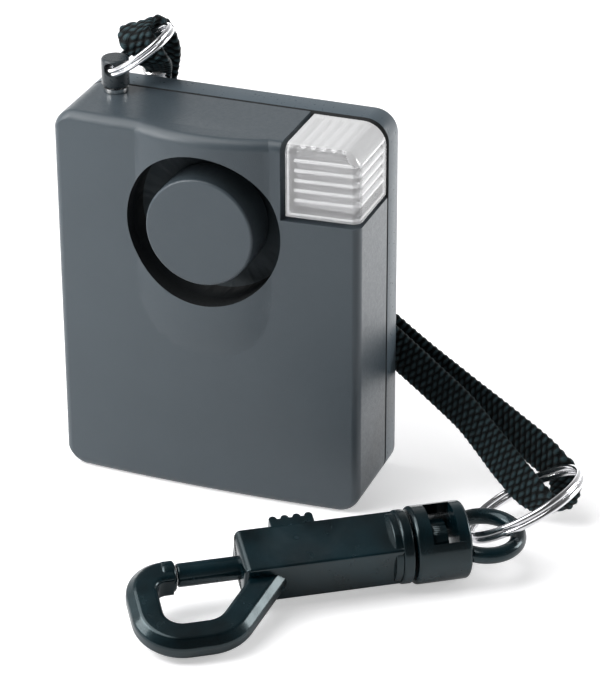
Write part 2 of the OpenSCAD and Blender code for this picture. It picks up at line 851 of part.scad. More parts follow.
module pin_head() {
    color([0.05, 0.05, 0.05]) translate([pin_x, pin_y, 0]) difference() {
        translate([0, 0, head_z]) rotate_extrude() {
            translate([0, 0]) square([head_r - head_edge, head_h]);
            translate([0, head_edge]) square([head_r, head_h - 2 * head_edge]);
            for (z = [head_edge, head_h - head_edge])
                translate([head_r - head_edge, z]) circle(head_edge);
        }
        translate([0, 0, head_z - 1]) cylinder(r = shank_r + run_gap, h = shank_top - head_z + 1);
        translate([0, head_dia, ring_hole_z]) rotate([90, 0, 0]) cylinder(r = ring_hole_r, h = 2 * head_dia);
    }
}

module pin_shank() {
    color([0.8, 0.8, 0.82]) translate([pin_x, pin_y, 0]) {
        translate([0, 0, shank_tip + shank_r]) cylinder(r = shank_r, h = shank_top - shank_tip - shank_r);
        translate([0, 0, shank_tip + shank_r]) sphere(shank_r);
    }
}

module split_ring(r, wire) {
    rotate_extrude() {
        for (z = [-wire, wire] * 0.94)
            translate([r, z]) circle(wire);
        translate([r - wire * 0.4, -wire / 2]) square([wire * 0.8, wire]);
    }
}

module pin_ring() {
    color([0.85, 0.86, 0.88]) translate([pin_x, pin_y, ring_hole_z]) rotate([0, -pin_ring_tilt, 0])
        rotate([pin_ring_roll, 0, 0]) translate([pin_ring_r - pin_ring_lag, 0, 0])
            split_ring(pin_ring_r, pin_wire);
}

// Strap: route points chosen by hand, with the direction of the strap's width at each
loop_points = [[-18.9, 14.9, 71.2], [-18.5, 14.2, 74.4], [-17.6, 11.2, 77.0], [-16.7, 7.8, 79.2],
    [-17.5, 6.4, 81.9], [-19.7, 6.8, 84.0], [-20.2, 9.6, 85.1], [-18.5, 12.0, 84.1],
    [-17.2, 14.0, 79.8], [-17.6, 15.9, 75.4], [-18.3, 16.4, 71.2]];
loop_sides = [[1, 0, 0], [1, 0, 0], [1, 0, 0.1], [0.95, 0, 0.3], [0.85, 0, 0.5], [0.9, 0, 0.4],
    [0.93, 0, 0.34], [0.93, 0, 0.36], [0.97, 0, 0.25], [1, 0, 0.1], [1, 0, 0]];
loop_widths = [0.6, 0.68, 0.8, 0.82, 0.82, 0.95, 1, 1, 0.86, 0.68, 0.6];
tail_points = [[-18.2, 14.9, 66.2], [-16.6, 14.2, 61.6], [-10, 13.8, 55.4], [2, 13.8, 45.4],
    [15, 13.8, 35.4], [28, 13.8, 25.4], [37, 11.9, 19.9], [45, 8.6, 16.0], [51, 5.6, 12.0],
    [57.3, 1.5, 8.6], [62.0, -0.6, 6.0], [65.5, 0.6, 3.4], [66.4, 4.0, 4.7], [65.2, 6.4, 7.7],
    [62.4, 7.0, 9.9], [54.7, 10.2, 12.9], [43, 14.2, 17.4], [31, 16.8, 23.4], [16, 16.8, 34.8],
    [3, 16.8, 44.8], [-9, 16.8, 54.8], [-15.4, 16.7, 61.2], [-17.6, 16.4, 66.2]];
tail_sides = [[1, 0, 0.3], [0.8, 0, 0.5], [0.7, 0, 0.7], [0.7, 0, 0.7], [0.7, 0, 0.7],
    [0.7, 0, 0.7], [0.7, -0.1, 0.7], [0.75, -0.2, 0.6], [0.8, -0.25, 0.55], [0.85, -0.14, 0.43],
    [0.86, -0.21, 0.52], [0.8, -0.25, 0.53], [0.8, -0.25, 0.53], [0.8, -0.25, 0.53],
    [0.8, -0.25, 0.53], [0.75, -0.2, 0.6], [0.7, -0.1, 0.7], [0.7, 0, 0.7], [0.7, 0, 0.7],
    [0.7, 0, 0.7], [0.7, 0, 0.7], [0.8, 0, 0.5], [1, 0, 0.3]];
tail_widths = [0.62, 0.85, 1, 1, 1, 1, 1, 1, 1, 0.92, 0.98, 1, 1, 1, 1, 1, 1, 1, 1, 1, 1, 0.85, 0.62];
loop_steps = 5;
tail_steps = 3;

module strap_loop() {
    color([0.05, 0.06, 0.06])
        sweep(loop_points, loop_sides, flat_section(strap_w, strap_t), loop_widths, loop_steps);
}

module strap_tail() {
    color([0.05, 0.06, 0.06])
        sweep(tail_points, tail_sides, flat_section(strap_w, strap_t), tail_widths, tail_steps);
}

module strap_clamp() {
    color([0.85, 0.86, 0.88]) translate(clamp_at) rotate([0, -clamp_lean, 0]) rotate_extrude() {
        translate([clamp_r - clamp_wall, 0]) square([clamp_wall, clamp_l]);
        translate([clamp_r - clamp_wall / 2, clamp_l - clamp_bead]) circle(clamp_bead);
    }
}

// Snap hook
module hook_frame(tilt) {
    translate(hook_at) rotate([0, 0, hook_head]) rotate([tilt, 0, 0]) children();
}

module s_rod(s0, s1, r) {
    translate([s0, 0, 0]) rotate([0, 90, 0]) cylinder(r = r, h = s1 - s0);
}

module s_drum(s0, s1, r, e) {
    translate([s0, 0, 0]) rotate([0, 90, 0]) rotate_extrude() {
        square([r - e, s1 - s0]);
        translate([0, e]) square([r, s1 - s0 - 2 * e]);
        for (z = [e, s1 - s0 - e])
            translate([r - e, z]) circle(e);
    }
}

module hook_ring() {
    n = unit(hook_ring_n);
    color([0.85, 0.86, 0.88]) translate(hook_ring_at) rotate([0, acos(n[2]), atan2(n[1], n[0])])
        split_ring(hook_ring_r, hook_wire);
}

module swivel_barrel() {
    color([0.05, 0.05, 0.06]) hook_frame(0) difference() {
        union() {
            s_drum(barrel_s0, barrel_s1, barrel_r, barrel_edge);
            translate([eye_s, 0, 0]) rotate([eye_tilt, 0, 0])
                rotate_extrude() translate([eye_r, 0]) circle(eye_wire);
        }
        s_rod(window_s0, window_s1, chamber_r);
        rotate([window_turn, 0, 0]) translate([window_s0, -window_half, -barrel_dia])
            cube([window_s1 - window_s0, 2 * window_half, 2 * barrel_dia]);
        s_rod(window_s1 - 1, barrel_s1 + 1, stem_r + run_gap);
    }
}

module swivel_stem() {
    color([0.06, 0.06, 0.07]) hook_frame(0) {
        s_rod(stem_head_s0, stem_head_s1, stem_head_r);
        s_rod(stem_head_s1 - eps, flange_s0, stem_r);
    }
}

module cut_rect(half_x, half_y, cut) {
    polygon([[half_x - cut, -half_y], [half_x, -half_y + cut], [half_x, half_y - cut],
        [half_x - cut, half_y], [-half_x + cut, half_y], [-half_x, half_y - cut],
        [-half_x, -half_y + cut], [-half_x + cut, -half_y]]);
}

// Section of the bow: a wide bevel on its outside, a narrow one on its inside
function bow_shape(out) = let (
    x = out * bow_w / 2,
    y = bow_t / 2,
    c = out * bow_cut,
    d = out * bow_inner_cut)
    [[x - c, -y], [x, bow_cut - y], [x, y - bow_cut], [x - c, y],
    [d - x, y], [-x, y - bow_inner_cut], [-x, bow_inner_cut - y], [d - x, -y]];

module bow_bar(p, heading, l) {
    translate([p[0], p[1], 0]) rotate([0, 0, heading]) rotate([90, 0, 90])
        linear_extrude(l) polygon(bow_shape(-1));
}

module bow_arc(c, r, a0, a1) {
    translate([c[0], c[1], 0]) rotate([0, 0, a0])
        rotate_extrude(angle = a1 - a0) translate([r, 0]) polygon(bow_shape(1));
}

module hook_bow() {
    left = bow_s + arc_a;
    b = [left - arc_b, arc_a + bow_drop];
    base_t = b[1] + arc_b;
    heading = 180 + arm_turn;
    c = [b[0] - bow_base, base_t - arc_c];
    arm = [c[0] + arc_c * cos(90 + arm_turn), c[1] + arc_c * sin(90 + arm_turn)];
    s_drum(tip_s0, tip_s1, tip_r, nose_edge);
    bow_bar([tip_s0 + 1, 0], 0, bow_s - tip_s0 - 1 + eps);
    bow_arc([bow_s, arc_a], arc_a, -90, 0);
    bow_bar([left, arc_a - eps], 90, bow_drop + 2 * eps);
    bow_arc(b, arc_b, 0, 90);
    bow_bar([b[0] + eps, base_t], 180, bow_base + 2 * eps);
    bow_arc(c, arc_c, 90, 90 + arm_turn);
    bow_bar(arm - eps * [cos(heading), sin(heading)], heading, arm_l);
}

module hook_body() {
    color([0.05, 0.05, 0.06]) hook_frame(hook_tilt) difference() {
        union() {
            s_drum(flange_s0, flange_s1, flange_r, flange_edge);
            s_drum(flange_s0 + flange_edge, collar_s1, collar_r, collar_edge);
            translate([flange_s1 - 1, 0, 0]) rotate([90, 0, 90]) linear_extrude(body_s1 - flange_s1 + 1)
                cut_rect(body_half_t, body_half_n, body_cut);
            hook_bow();
        }
        s_rod(bore_s0, body_s1 + bore_over, bolt_bore_r);
        translate([slot_s0, -body_half_t - 1, -slot_half])
            cube([slot_s1 - slot_s0, body_half_t + 1, 2 * slot_half]);
    }
}

module latch_bolt() {
    color([0.06, 0.06, 0.07]) hook_frame(hook_tilt) s_drum(bolt_s0, bolt_s1, bolt_r, bolt_r * 0.2);
}

module thumb_slide() {
    low = -body_half_t - move_gap;
    step = (thumb_s1 - thumb_s0 - 2 * thumb_rib_r) / (thumb_ribs - 1);
    color([0.07, 0.07, 0.08]) hook_frame(hook_tilt) difference() {
        union() {
            translate([thumb_s0, low - thumb_h, -thumb_half])
                cube([thumb_s1 - thumb_s0, thumb_h, 2 * thumb_half]);
            translate([neck_s0, low - eps, -neck_half]) cube([neck_s1 - neck_s0, -low, 2 * neck_half]);
            for (k = [0 : thumb_ribs - 1])
                translate([thumb_s0 + thumb_rib_r + k * step, low - thumb_h, -thumb_half])
                    cylinder(r = thumb_rib_r, h = 2 * thumb_half);
        }
        s_rod(bolt_s0 - 1, bolt_s1, bolt_r);
    }
}

module latch_spring() {
    length = bolt_s0 - bore_s0 - 2 * (spring_end + spring_wire);
    total = spring_turns * spring_steps;
    echo("gap between spring turns", length / spring_turns - 2 * spring_wire);
    low = bore_s0 + spring_end + spring_wire;
    rings = [for (k = [0 : total]) let (a = 360 * k / spring_steps, s = low + length * k / total)
        [for (j = [0 : spring_sides - 1]) let (
            b = 360 * j / spring_sides,
            r = spring_r + spring_wire * cos(b))
            [s + spring_wire * sin(b), r * cos(a), r * sin(a)]]];
    faces = [for (k = [0 : total - 1]) for (j = [0 : spring_sides - 1]) each let (
        a = k * spring_sides + j,
        b = k * spring_sides + (j + 1) % spring_sides)
        [[a, a + spring_sides, b + spring_sides], [a, b + spring_sides, b]]];
    start = [[for (j = [0 : spring_sides - 1]) j]];
    end = [[for (j = [spring_sides - 1 : -1 : 0]) total * spring_sides + j]];
    color([0.8, 0.8, 0.82]) hook_frame(hook_tilt)
        polyhedron([for (r = rings) each r], concat(start, faces, end), convexity = 10);
}

front_shell();
rear_shell();
case_screws();
horn_cup();
horn_plug();
siren_plate();
siren_ceramic();
siren_cap();
strobe_lens();
strobe_reflector();
strobe_lamp();
lamp_legs();
circuit_board();
siren_coil();
coil_core();
capacitor();
driver_chip();
battery();
battery_terminals();
battery_snap();
lead_red();
lead_black();
pin_socket();
switch_base();
switch_leaves();
pin_head();
pin_shank();
pin_ring();
strap_loop();
strap_clamp();
strap_tail();
hook_ring();
swivel_barrel();
hook_body();
swivel_stem();
latch_bolt();
thumb_slide();
latch_spring();
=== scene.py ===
import json
import math

import bmesh
import bpy
from bpy.props import FloatProperty, FloatVectorProperty, IntProperty, PointerProperty
from mathutils import Matrix, Vector


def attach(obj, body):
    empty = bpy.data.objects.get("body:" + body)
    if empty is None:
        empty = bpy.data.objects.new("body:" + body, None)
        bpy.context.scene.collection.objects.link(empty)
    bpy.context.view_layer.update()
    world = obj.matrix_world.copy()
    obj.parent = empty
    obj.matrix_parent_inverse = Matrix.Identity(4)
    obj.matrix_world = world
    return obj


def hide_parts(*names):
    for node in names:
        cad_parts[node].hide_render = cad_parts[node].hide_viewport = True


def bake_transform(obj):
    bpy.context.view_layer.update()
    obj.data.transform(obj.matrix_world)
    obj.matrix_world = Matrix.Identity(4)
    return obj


bl_info = {
    "name": "Personal Safety Alarm",
    "version": (1, 0, 0),
    "blender": (4, 5, 0),
    "location": "View3D > Sidebar > Alarm",
    "description": "Finishes and soft pieces for a pocket alarm with pull pin, strap and snap hook",
    "category": "Object",
}

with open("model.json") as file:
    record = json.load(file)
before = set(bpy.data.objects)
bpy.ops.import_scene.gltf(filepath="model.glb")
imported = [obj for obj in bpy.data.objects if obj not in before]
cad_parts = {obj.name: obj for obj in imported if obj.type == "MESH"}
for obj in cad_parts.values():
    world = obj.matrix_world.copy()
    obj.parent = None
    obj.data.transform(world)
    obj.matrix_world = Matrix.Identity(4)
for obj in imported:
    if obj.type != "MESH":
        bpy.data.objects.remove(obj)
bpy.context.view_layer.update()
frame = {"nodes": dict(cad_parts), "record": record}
MM = 0.001


# Sizes and colours

class CaseFinish(bpy.types.PropertyGroup):
    """Moulded case, front and rear"""

    colour: FloatVectorProperty(
        name="Colour", description="Grey of the moulded case", subtype="COLOR",
        size=3, min=0, max=1, default=(0.057, 0.075, 0.089))
    roughness: FloatProperty(
        name="Roughness", description="Satin of the moulded surface", subtype="FACTOR",
        min=0, max=1, default=0.37)
    grain: FloatProperty(
        name="Grain", description="Width of one grain of the mould texture", unit="LENGTH",
        min=0.00005, max=0.002, precision=6, default=0.00022)


class StrapBraid(bpy.types.PropertyGroup):
    """Flat braided strap"""

    width: FloatProperty(
        name="Width", description="Width of the strap", unit="LENGTH",
        min=0.004, max=0.012, precision=5, default=0.0075)
    thickness: FloatProperty(
        name="Thickness", description="Thickness of one layer", unit="LENGTH",
        min=0.0008, max=0.002, precision=5, default=0.0014)
    strands: IntProperty(
        name="Strands", description="Strands of one slant round the strap", min=4, max=40, default=5)
    float_length: FloatProperty(
        name="Float", description="Length of a strand's float over its width", min=0.3, max=3, default=0.44)
    relief: FloatProperty(
        name="Relief", description="Height of a strand over the gap beside it", unit="LENGTH",
        min=0, max=0.001, precision=5, default=0.0005)
    colour: FloatVectorProperty(
        name="Colour", description="Yarn colour", subtype="COLOR",
        size=3, min=0, max=1, default=(0.0145, 0.027, 0.031))


class HookForm(bpy.types.PropertyGroup):
    """Moulded black snap hook"""

    bow_width: FloatProperty(
        name="Bow Width", description="Width of the bow's section", unit="LENGTH",
        min=0.004, max=0.007, precision=5, default=0.0056)
    bow_thickness: FloatProperty(
        name="Bow Thickness", description="Height of the bow's section", unit="LENGTH",
        min=0.004, max=0.006, precision=5, default=0.005)
    outer_bevel: FloatProperty(
        name="Outer Bevel", description="Bevel along the outside of the bow", unit="LENGTH",
        min=0.0005, max=0.002, precision=5, default=0.0015)
    inner_bevel: FloatProperty(
        name="Inner Bevel", description="Bevel along the inside of the bow", unit="LENGTH",
        min=0.0003, max=0.001, precision=5, default=0.0006)
    edge: FloatProperty(
        name="Edge", description="Rounding of the moulded edges", unit="LENGTH",
        min=0.0001, max=0.001, precision=5, default=0.0005)
    colour: FloatVectorProperty(
        name="Colour", description="Black of the hook", subtype="COLOR",
        size=3, min=0, max=1, default=(0.002, 0.0095, 0.013))
    roughness: FloatProperty(
        name="Roughness", description="Gloss of the hook", subtype="FACTOR",
        min=0, max=1, default=0.2)


class LensFinish(bpy.types.PropertyGroup):
    """Clear strobe lens"""

    tint: FloatVectorProperty(
        name="Tint", description="Tint of the clear plastic", subtype="COLOR",
        size=3, min=0, max=1, default=(0.95, 0.955, 0.965))
    milk: FloatProperty(
        name="Milk", description="Share of the light that a clear wall stops", subtype="FACTOR",
        min=0, max=1, default=0.3)
    # Top light: the lens's top faces made more opaque white, painted light where the light from above falls
    top_light: FloatProperty(
        name="Top Light", description="Share of the light that the top stops", subtype="FACTOR",
        min=0, max=1, default=0.72)
    # Rib glint: the ribs and rim made near opaque white, a painted glint
    rib_glint: FloatProperty(
        name="Rib Glint", description="Share of the light that a rib stops", subtype="FACTOR",
        min=0, max=1, default=0.92)


class StageSetup(bpy.types.PropertyGroup):
    """Floor, lights and camera"""

    eye: FloatVectorProperty(
        name="Eye", description="Camera position", subtype="XYZ", unit="LENGTH",
        size=3, precision=5, default=(0.19631, -0.47918, 0.29438))
    aim: FloatVectorProperty(
        name="Aim", description="Point at the middle of the picture", subtype="XYZ", unit="LENGTH",
        size=3, precision=5, default=(0.014425, 0.00175, 0.02935))
    roll: FloatProperty(
        name="Roll", description="Turn of the camera about its view", subtype="ANGLE",
        default=math.radians(-0.267))
    lens: FloatProperty(
        name="Lens", description="Focal length in millimetres", min=20, max=400, default=184.65)
    floor: FloatVectorProperty(
        name="Floor", description="Colour of the floor", subtype="COLOR",
        size=3, min=0, max=1, default=(0.93, 0.925, 0.935))
    overhead: FloatProperty(
        name="Overhead", description="Power of the soft light above", subtype="POWER",
        min=0, default=8)
    left: FloatProperty(
        name="Left", description="Power of the soft light at the front left", subtype="POWER",
        min=0, default=0.3)
    right: FloatProperty(
        name="Right", description="Power of the soft light at the rear right", subtype="POWER",
        min=0, default=4)
    ambient: FloatProperty(
        name="Ambient", description="Strength of the even light from above",
        min=0, max=2, default=0.2)
    horizon: FloatProperty(
        name="Horizon", description="Strength of the even light from the horizon",
        min=0, max=2, default=0.9)
    lift: FloatProperty(
        name="Lift", description="How far the lit floor is raised to white", min=0, max=1, default=0.45)
    mirrored: FloatProperty(
        name="Mirrored", description="How far the floor behind is raised in reflections",
        min=0, max=3, default=1.4)


# Selecting and copying: distance in metres that closes a copy's loose triangles, and the angles in
# degrees under which faces count as one plane and over which an edge is broken

WELD = 0.0000005
COPLANAR = 0.2
CORNER = 40


def select_only(obj):
    """Leaves one object selected and active"""
    bpy.ops.object.select_all(action="DESELECT")
    obj.select_set(True)
    bpy.context.view_layer.objects.active = obj


def new_object(name, mesh):
    """Puts a mesh into the scene as a selected object at the origin"""
    obj = bpy.data.objects.new(name, mesh)
    bpy.context.scene.collection.objects.link(obj)
    select_only(obj)
    return obj


def smooth_copy(node, angle=30, edge=0.0):
    """Copies a solid, closes its loose triangles, breaks its edges and smooths its round faces"""
    obj = new_object(node + "_skin", frame["nodes"][node].data.copy())
    bpy.ops.object.mode_set(mode="EDIT")
    bpy.ops.mesh.select_all(action="SELECT")
    bpy.ops.mesh.remove_doubles(threshold=WELD)
    if edge:
        bpy.ops.mesh.dissolve_limited(angle_limit=math.radians(COPLANAR))
    bpy.ops.object.mode_set(mode="OBJECT")
    if edge:
        round_off = obj.modifiers.new("broken_edges", "BEVEL")
        round_off.limit_method = "ANGLE"
        round_off.angle_limit = math.radians(CORNER)
        round_off.width = edge
        round_off.segments = 2
        round_off.miter_outer = "MITER_ARC"
        bpy.ops.object.modifier_apply(modifier=round_off.name)
    smooth(obj, angle)
    return obj


def smooth(obj, angle):
    """Smooths round faces and keeps flat faces flat"""
    select_only(obj)
    bpy.ops.object.shade_smooth_by_angle(angle=math.radians(angle))
    weigh = obj.modifiers.new("flat_faces", "WEIGHTED_NORMAL")
    weigh.mode = "FACE_AREA"
    weigh.keep_sharp = True
    bpy.ops.object.modifier_apply(modifier=weigh.name)


def body_of(node):
    """Name of the body that carries a node"""
    for body, members in frame["record"]["behaviour"]["bodies"].items():
        if node in members:
            return body
    raise RuntimeError("no body carries " + node)


def dress(node, material, angle=30, edge=0.0):
    """Replaces a solid by its smoothed copy in the given finish"""
    obj = smooth_copy(node, angle, edge)
    obj.data.materials.clear()
    obj.data.materials.append(material)
    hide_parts(node)
    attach(obj, body_of(node))
    return obj


def line_faces(obj, material, test):
    """Gives a second finish to the faces whose place and direction pass a test"""
    obj.data.materials.append(material)
    for face in obj.data.polygons:
        if test(face.center / MM, face.normal):
            face.material_index = len(obj.data.materials) - 1


def paint(node, material):
    """Gives a solid that stays in view its finish"""
    mesh = frame["nodes"][node].data
    mesh.materials.clear()
    mesh.materials.append(material)


# Finishes

FIBRES = 5


def ramp(tree, source, start, end, low, high):
    """Node that maps a value from one range to another"""
    node = tree.nodes.new("ShaderNodeMapRange")
    for key, value in (("From Min", start), ("From Max", end), ("To Min", low), ("To Max", high)):
        node.inputs[key].default_value = value
    tree.links.new(source, node.inputs["Value"])
    return node


class Finish:
    """A material with one principled shader, and the nodes that feed it"""

    def __init__(self, name, colour, roughness, **values):
        self.material = bpy.data.materials.new(name)
        self.material.use_nodes = True
        self.nodes = self.material.node_tree.nodes
        self.links = self.material.node_tree.links
        self.shader = self.nodes["Principled BSDF"]
        self.put("Base Color", (*colour, 1))
        self.put("Roughness", roughness)
        for key, value in values.items():
            self.put(key.replace("_", " ").title().replace("Ior", "IOR"), value)

    def put(self, socket, value):
        """Sets a value on the shader's own socket"""
        self.shader.inputs[socket].default_value = value

    def add(self, kind, **settings):
        """Adds a node with its settings"""
        node = self.nodes.new(kind)
        for key, value in settings.items():
            setattr(node, key, value)
        return node

    def join(self, source, target):
        """Links two sockets"""
        self.links.new(source, target)

    def place(self):
        """Object coordinates"""
        if not hasattr(self, "coordinates"):
            self.coordinates = self.add("ShaderNodeTexCoord")
        return self.coordinates.outputs["Object"]

    def noise(self, size, detail=2, rough=0.5, stretch=None):
        """Noise with features of a size in metres"""
        node = self.add("ShaderNodeTexNoise")
        node.inputs["Scale"].default_value = 1 / size
        node.inputs["Detail"].default_value = detail
        node.inputs["Roughness"].default_value = rough
        source = self.place()
        if stretch:
            turn = self.add("ShaderNodeMapping")
            turn.inputs["Scale"].default_value = stretch
            self.join(source, turn.inputs["Vector"])
            source = turn.outputs["Vector"]
        self.join(source, node.inputs["Vector"])
        return node.outputs["Fac"]

    def spread(self, source, low, high, start=0.3, end=0.7):
        """Maps a factor to a range of values"""
        return ramp(self.material.node_tree, source, start, end, low, high).outputs["Result"]

    def tone(self, source, dark, light):
        """Varies the base colour between two tones"""
        node = self.add("ShaderNodeMix", data_type="RGBA")
        node.inputs["A"].default_value = (*dark, 1)
        node.inputs["B"].default_value = (*light, 1)
        self.join(source, node.inputs["Factor"])
        self.join(node.outputs["Result"], self.shader.inputs["Base Color"])

    def rough(self, source, low, high):
        """Varies the roughness between two values"""
        self.join(self.spread(source, low, high), self.shader.inputs["Roughness"])

    def bump(self, source, depth, strength=1.0):
        """Raises the surface by a height in metres"""
        node = self.add("ShaderNodeBump")
        node.inputs["Strength"].default_value = strength
        node.inputs["Distance"].default_value = depth
        self.join(source, node.inputs["Height"])
        last = getattr(self, "last_bump", None)
        if last:
            self.join(last, node.inputs["Normal"])
        self.last_bump = node.outputs["Normal"]
        self.join(self.last_bump, self.shader.inputs["Normal"])

    def math(self, operation, *values):
        """One step of arithmetic"""
        node = self.add("ShaderNodeMath", operation=operation)
        for socket, value in zip(node.inputs, values):
            if isinstance(value, (int, float)):
                socket.default_value = value
            else:
                self.join(value, socket)
        return node.outputs["Value"]


def scaled(colour, factor):
    """Lighter or darker tone of a colour"""
    return tuple(min(1, c * factor) for c in colour)


def moulded(name, colour, roughness, grain, depth, tone=0.06):
    """Moulded plastic with a fine mould texture and faint flow marks"""
    finish = Finish(name, colour, roughness)
    fine = finish.noise(grain, 3, 0.6)
    flow = finish.noise(0.012, 2, 0.5)
    finish.tone(flow, scaled(colour, 1 - tone), scaled(colour, 1 + tone))
    finish.rough(finish.noise(grain * 3, 2, 0.5), roughness - 0.05, roughness + 0.05)
    finish.bump(fine, depth)
    return finish.material


def gloss_moulded(name, colour, roughness):
    """Polished moulding with handling marks in its gloss and a painted cloudy reflection in its colour"""
    finish = Finish(name, colour, roughness, coat_weight=0.2, coat_roughness=0.08)
    finish.put("Specular Tint", (0.72, 0.94, 1, 1))
    haze = finish.noise(0.004, 4, 0.6)
    finish.rough(haze, roughness - 0.06, roughness + 0.1)
    # painted reflection: soft cloudy patches, lighter and darker in the colour, standing in for reflections
    # in the gloss
    painted_reflection = finish.spread(finish.noise(0.009, 2), 0, 1, 0.35, 0.65)
    finish.tone(painted_reflection, scaled(colour, 0.4), scaled(colour, 1.6))
    finish.bump(finish.noise(0.0012, 3, 0.5), 0.000012)
    return finish.material


def bright_metal(name, colour, roughness, stretch=(1, 1, 1)):
    """Plated wire and sheet with fine drawing lines"""
    finish = Finish(name, colour, roughness, metallic=1.0)
    finish.rough(finish.noise(0.0009, 3, 0.6, stretch), max(0.02, roughness - 0.06), roughness + 0.1)
    finish.tone(finish.noise(0.003, 2), scaled(colour, 0.93), scaled(colour, 1.05))
    finish.bump(finish.noise(0.0004, 2, 0.5, stretch), 0.000004)
    return finish.material


def clear_plastic(name, tint, roughness, milk):
    """Clear moulding that lets light straight through, but for the share that its walls stop"""
    finish = Finish(name, tint, roughness, alpha=milk, specular_ior_level=1.0, coat_weight=1.0)
    finish.rough(finish.noise(0.003, 3, 0.5), roughness, roughness + 0.06)
    return finish.material


def yarn(name, colour):
    """Braided yarn: fibres run along whichever strand lies on top, its crests painted light and its gaps
    painted dark as shade
    """
    finish = Finish(name, colour, 0.55, specular_ior_level=0.15, sheen_weight=0.03)
    finish.put("Sheen Tint", (0.4, 0.6, 0.66, 1))
    coordinates = finish.add("ShaderNodeUVMap", uv_map="strand")
    parts = finish.add("ShaderNodeSeparateXYZ")
    finish.join(coordinates.outputs["UV"], parts.inputs["Vector"])
    a, b = parts.outputs["X"], parts.outputs["Y"]
    steps = finish.math("ADD", finish.math("FLOOR", a), finish.math("FLOOR", b))
    swap = finish.math("PINGPONG", steps, 1)
    across = finish.add("ShaderNodeMix", data_type="FLOAT")
    finish.join(swap, across.inputs["Factor"])
    finish.join(b, across.inputs["A"])
    finish.join(a, across.inputs["B"])
    fibre = finish.math("SINE", finish.math("MULTIPLY", across.outputs["Result"], math.tau * FIBRES))
    finish.bump(fibre, 0.00003)
    worn = finish.noise(0.0012, 3, 0.6)
    height = finish.add("ShaderNodeAttribute", attribute_name="height").outputs["Fac"]
    # crest_light: the strands' crests painted lighter as highlight and the gaps between them darker as
    # shade
    crest_light = finish.spread(height, 0.0, 1.0, 0.58, 1.0)
    uneven = finish.spread(worn, 0.5, 1.15)
    finish.tone(finish.math("MULTIPLY", uneven, crest_light), scaled(colour, 0.08), scaled(colour, 2.9))
    finish.bump(finish.noise(0.00025, 3, 0.6), 0.00004)
    return finish.material


# Braided strap: points on its middle line in millimetres, the direction across it at each point and
# its width there over the full width

LOOP_ROUTE = (
    (-18.9, 14.9, 71.2), (-18.5, 14.2, 74.4), (-17.6, 11.2, 77.0), (-16.7, 7.8, 79.2),
    (-17.5, 6.4, 81.9), (-19.7, 6.8, 84.0), (-20.2, 9.6, 85.1), (-18.5, 12.0, 84.1),
    (-17.2, 14.0, 79.8), (-17.6, 15.9, 75.4), (-18.3, 16.4, 71.2))
LOOP_SIDES = (
    (1, 0, 0), (1, 0, 0), (1, 0, 0.1), (0.95, 0, 0.3), (0.85, 0, 0.5), (0.9, 0, 0.4),
    (0.93, 0, 0.34), (0.93, 0, 0.36), (0.97, 0, 0.25), (1, 0, 0.1), (1, 0, 0))
LOOP_WIDTHS = (0.6, 0.68, 0.8, 0.82, 0.82, 0.95, 1, 1, 0.86, 0.68, 0.6)
TAIL_ROUTE = (
    (-18.2, 14.9, 66.2), (-16.6, 14.2, 61.6), (-10, 13.8, 55.4), (2, 13.8, 45.4),
    (15, 13.8, 35.4), (28, 13.8, 25.4), (37, 11.9, 19.9), (45, 8.6, 16.0), (51, 5.6, 12.0),
    (57.3, 1.5, 8.6), (62.0, -0.6, 6.0), (65.5, 0.6, 3.4), (66.4, 4.0, 4.7), (65.2, 6.4, 7.7),
    (62.4, 7.0, 9.9), (54.7, 10.2, 12.9), (43, 14.2, 17.4), (31, 16.8, 23.4), (16, 16.8, 34.8),
    (3, 16.8, 44.8), (-9, 16.8, 54.8), (-15.4, 16.7, 61.2), (-17.6, 16.4, 66.2))
TAIL_SIDES = (
    (1, 0, 0.3), (0.8, 0, 0.5), (0.7, 0, 0.7), (0.7, 0, 0.7), (0.7, 0, 0.7),
    (0.7, 0, 0.7), (0.7, -0.1, 0.7), (0.75, -0.2, 0.6), (0.8, -0.25, 0.55), (0.85, -0.14, 0.43),
    (0.86, -0.21, 0.52), (0.8, -0.25, 0.53), (0.8, -0.25, 0.53), (0.8, -0.25, 0.53),
    (0.8, -0.25, 0.53), (0.75, -0.2, 0.6), (0.7, -0.1, 0.7), (0.7, 0, 0.7), (0.7, 0, 0.7),
    (0.7, 0, 0.7), (0.7, 0, 0.7), (0.8, 0, 0.5), (1, 0, 0.3))
TAIL_WIDTHS = (
    0.62, 0.85, 1, 1, 1, 1, 1, 1, 1, 0.92, 0.98, 1,
    1, 1, 1, 1, 1, 1, 1, 1, 1, 0.85, 0.62)

# Mesh points across a strand, parts that a stretch of the route is measured in, reach of the direction
# along it, share of the relief on the strap's round edges, and share of a strand's crown across it

STRAND_POINTS = 7
FINE_PARTS = 60
REACH = 0.02
EDGE_RELIEF = 0.45
CROWN = 0.64


def spline(points, u):
    """Point on a smooth curve through the points"""
    i = min(int(u), len(points) - 2)
    t = u - i
    a, b, c, d = (Vector(points[max(0, min(len(points) - 1, k))]) for k in (i - 1, i, i + 1, i + 2))
    square = 2 * a - 5 * b + 4 * c - d
    cube = 3 * b - a - 3 * c + d
    return 0.5 * (2 * b + (c - a) * t + square * t * t + cube * t ** 3)


def between(values, u):
    """Value between two neighbours in a list"""
    i = min(int(u), len(values) - 2)
    a, b = values[i], values[i + 1]
    if isinstance(a, tuple):
        return Vector(a).lerp(Vector(b), u - i)
    return a + (b - a) * (u - i)


def even_steps(points, count):
    """Curve parameters at even distances along the route"""
    fine = FINE_PARTS * (len(points) - 1)
    marks = [0.0]
    last = spline(points, 0)
    for k in range(1, fine + 1):
        here = spline(points, k / FINE_PARTS)
        marks.append(marks[-1] + (here - last).length)
        last = here
    steps, k = [], 0
    for n in range(count + 1):
        want = marks[-1] * n / count
        while k < fine - 1 and marks[k + 1] < want:
            k += 1
        part = (want - marks[k]) / max(1e-9, marks[k + 1] - marks[k])
        steps.append((k + min(1, part)) / FINE_PARTS)
    return steps, marks[-1]


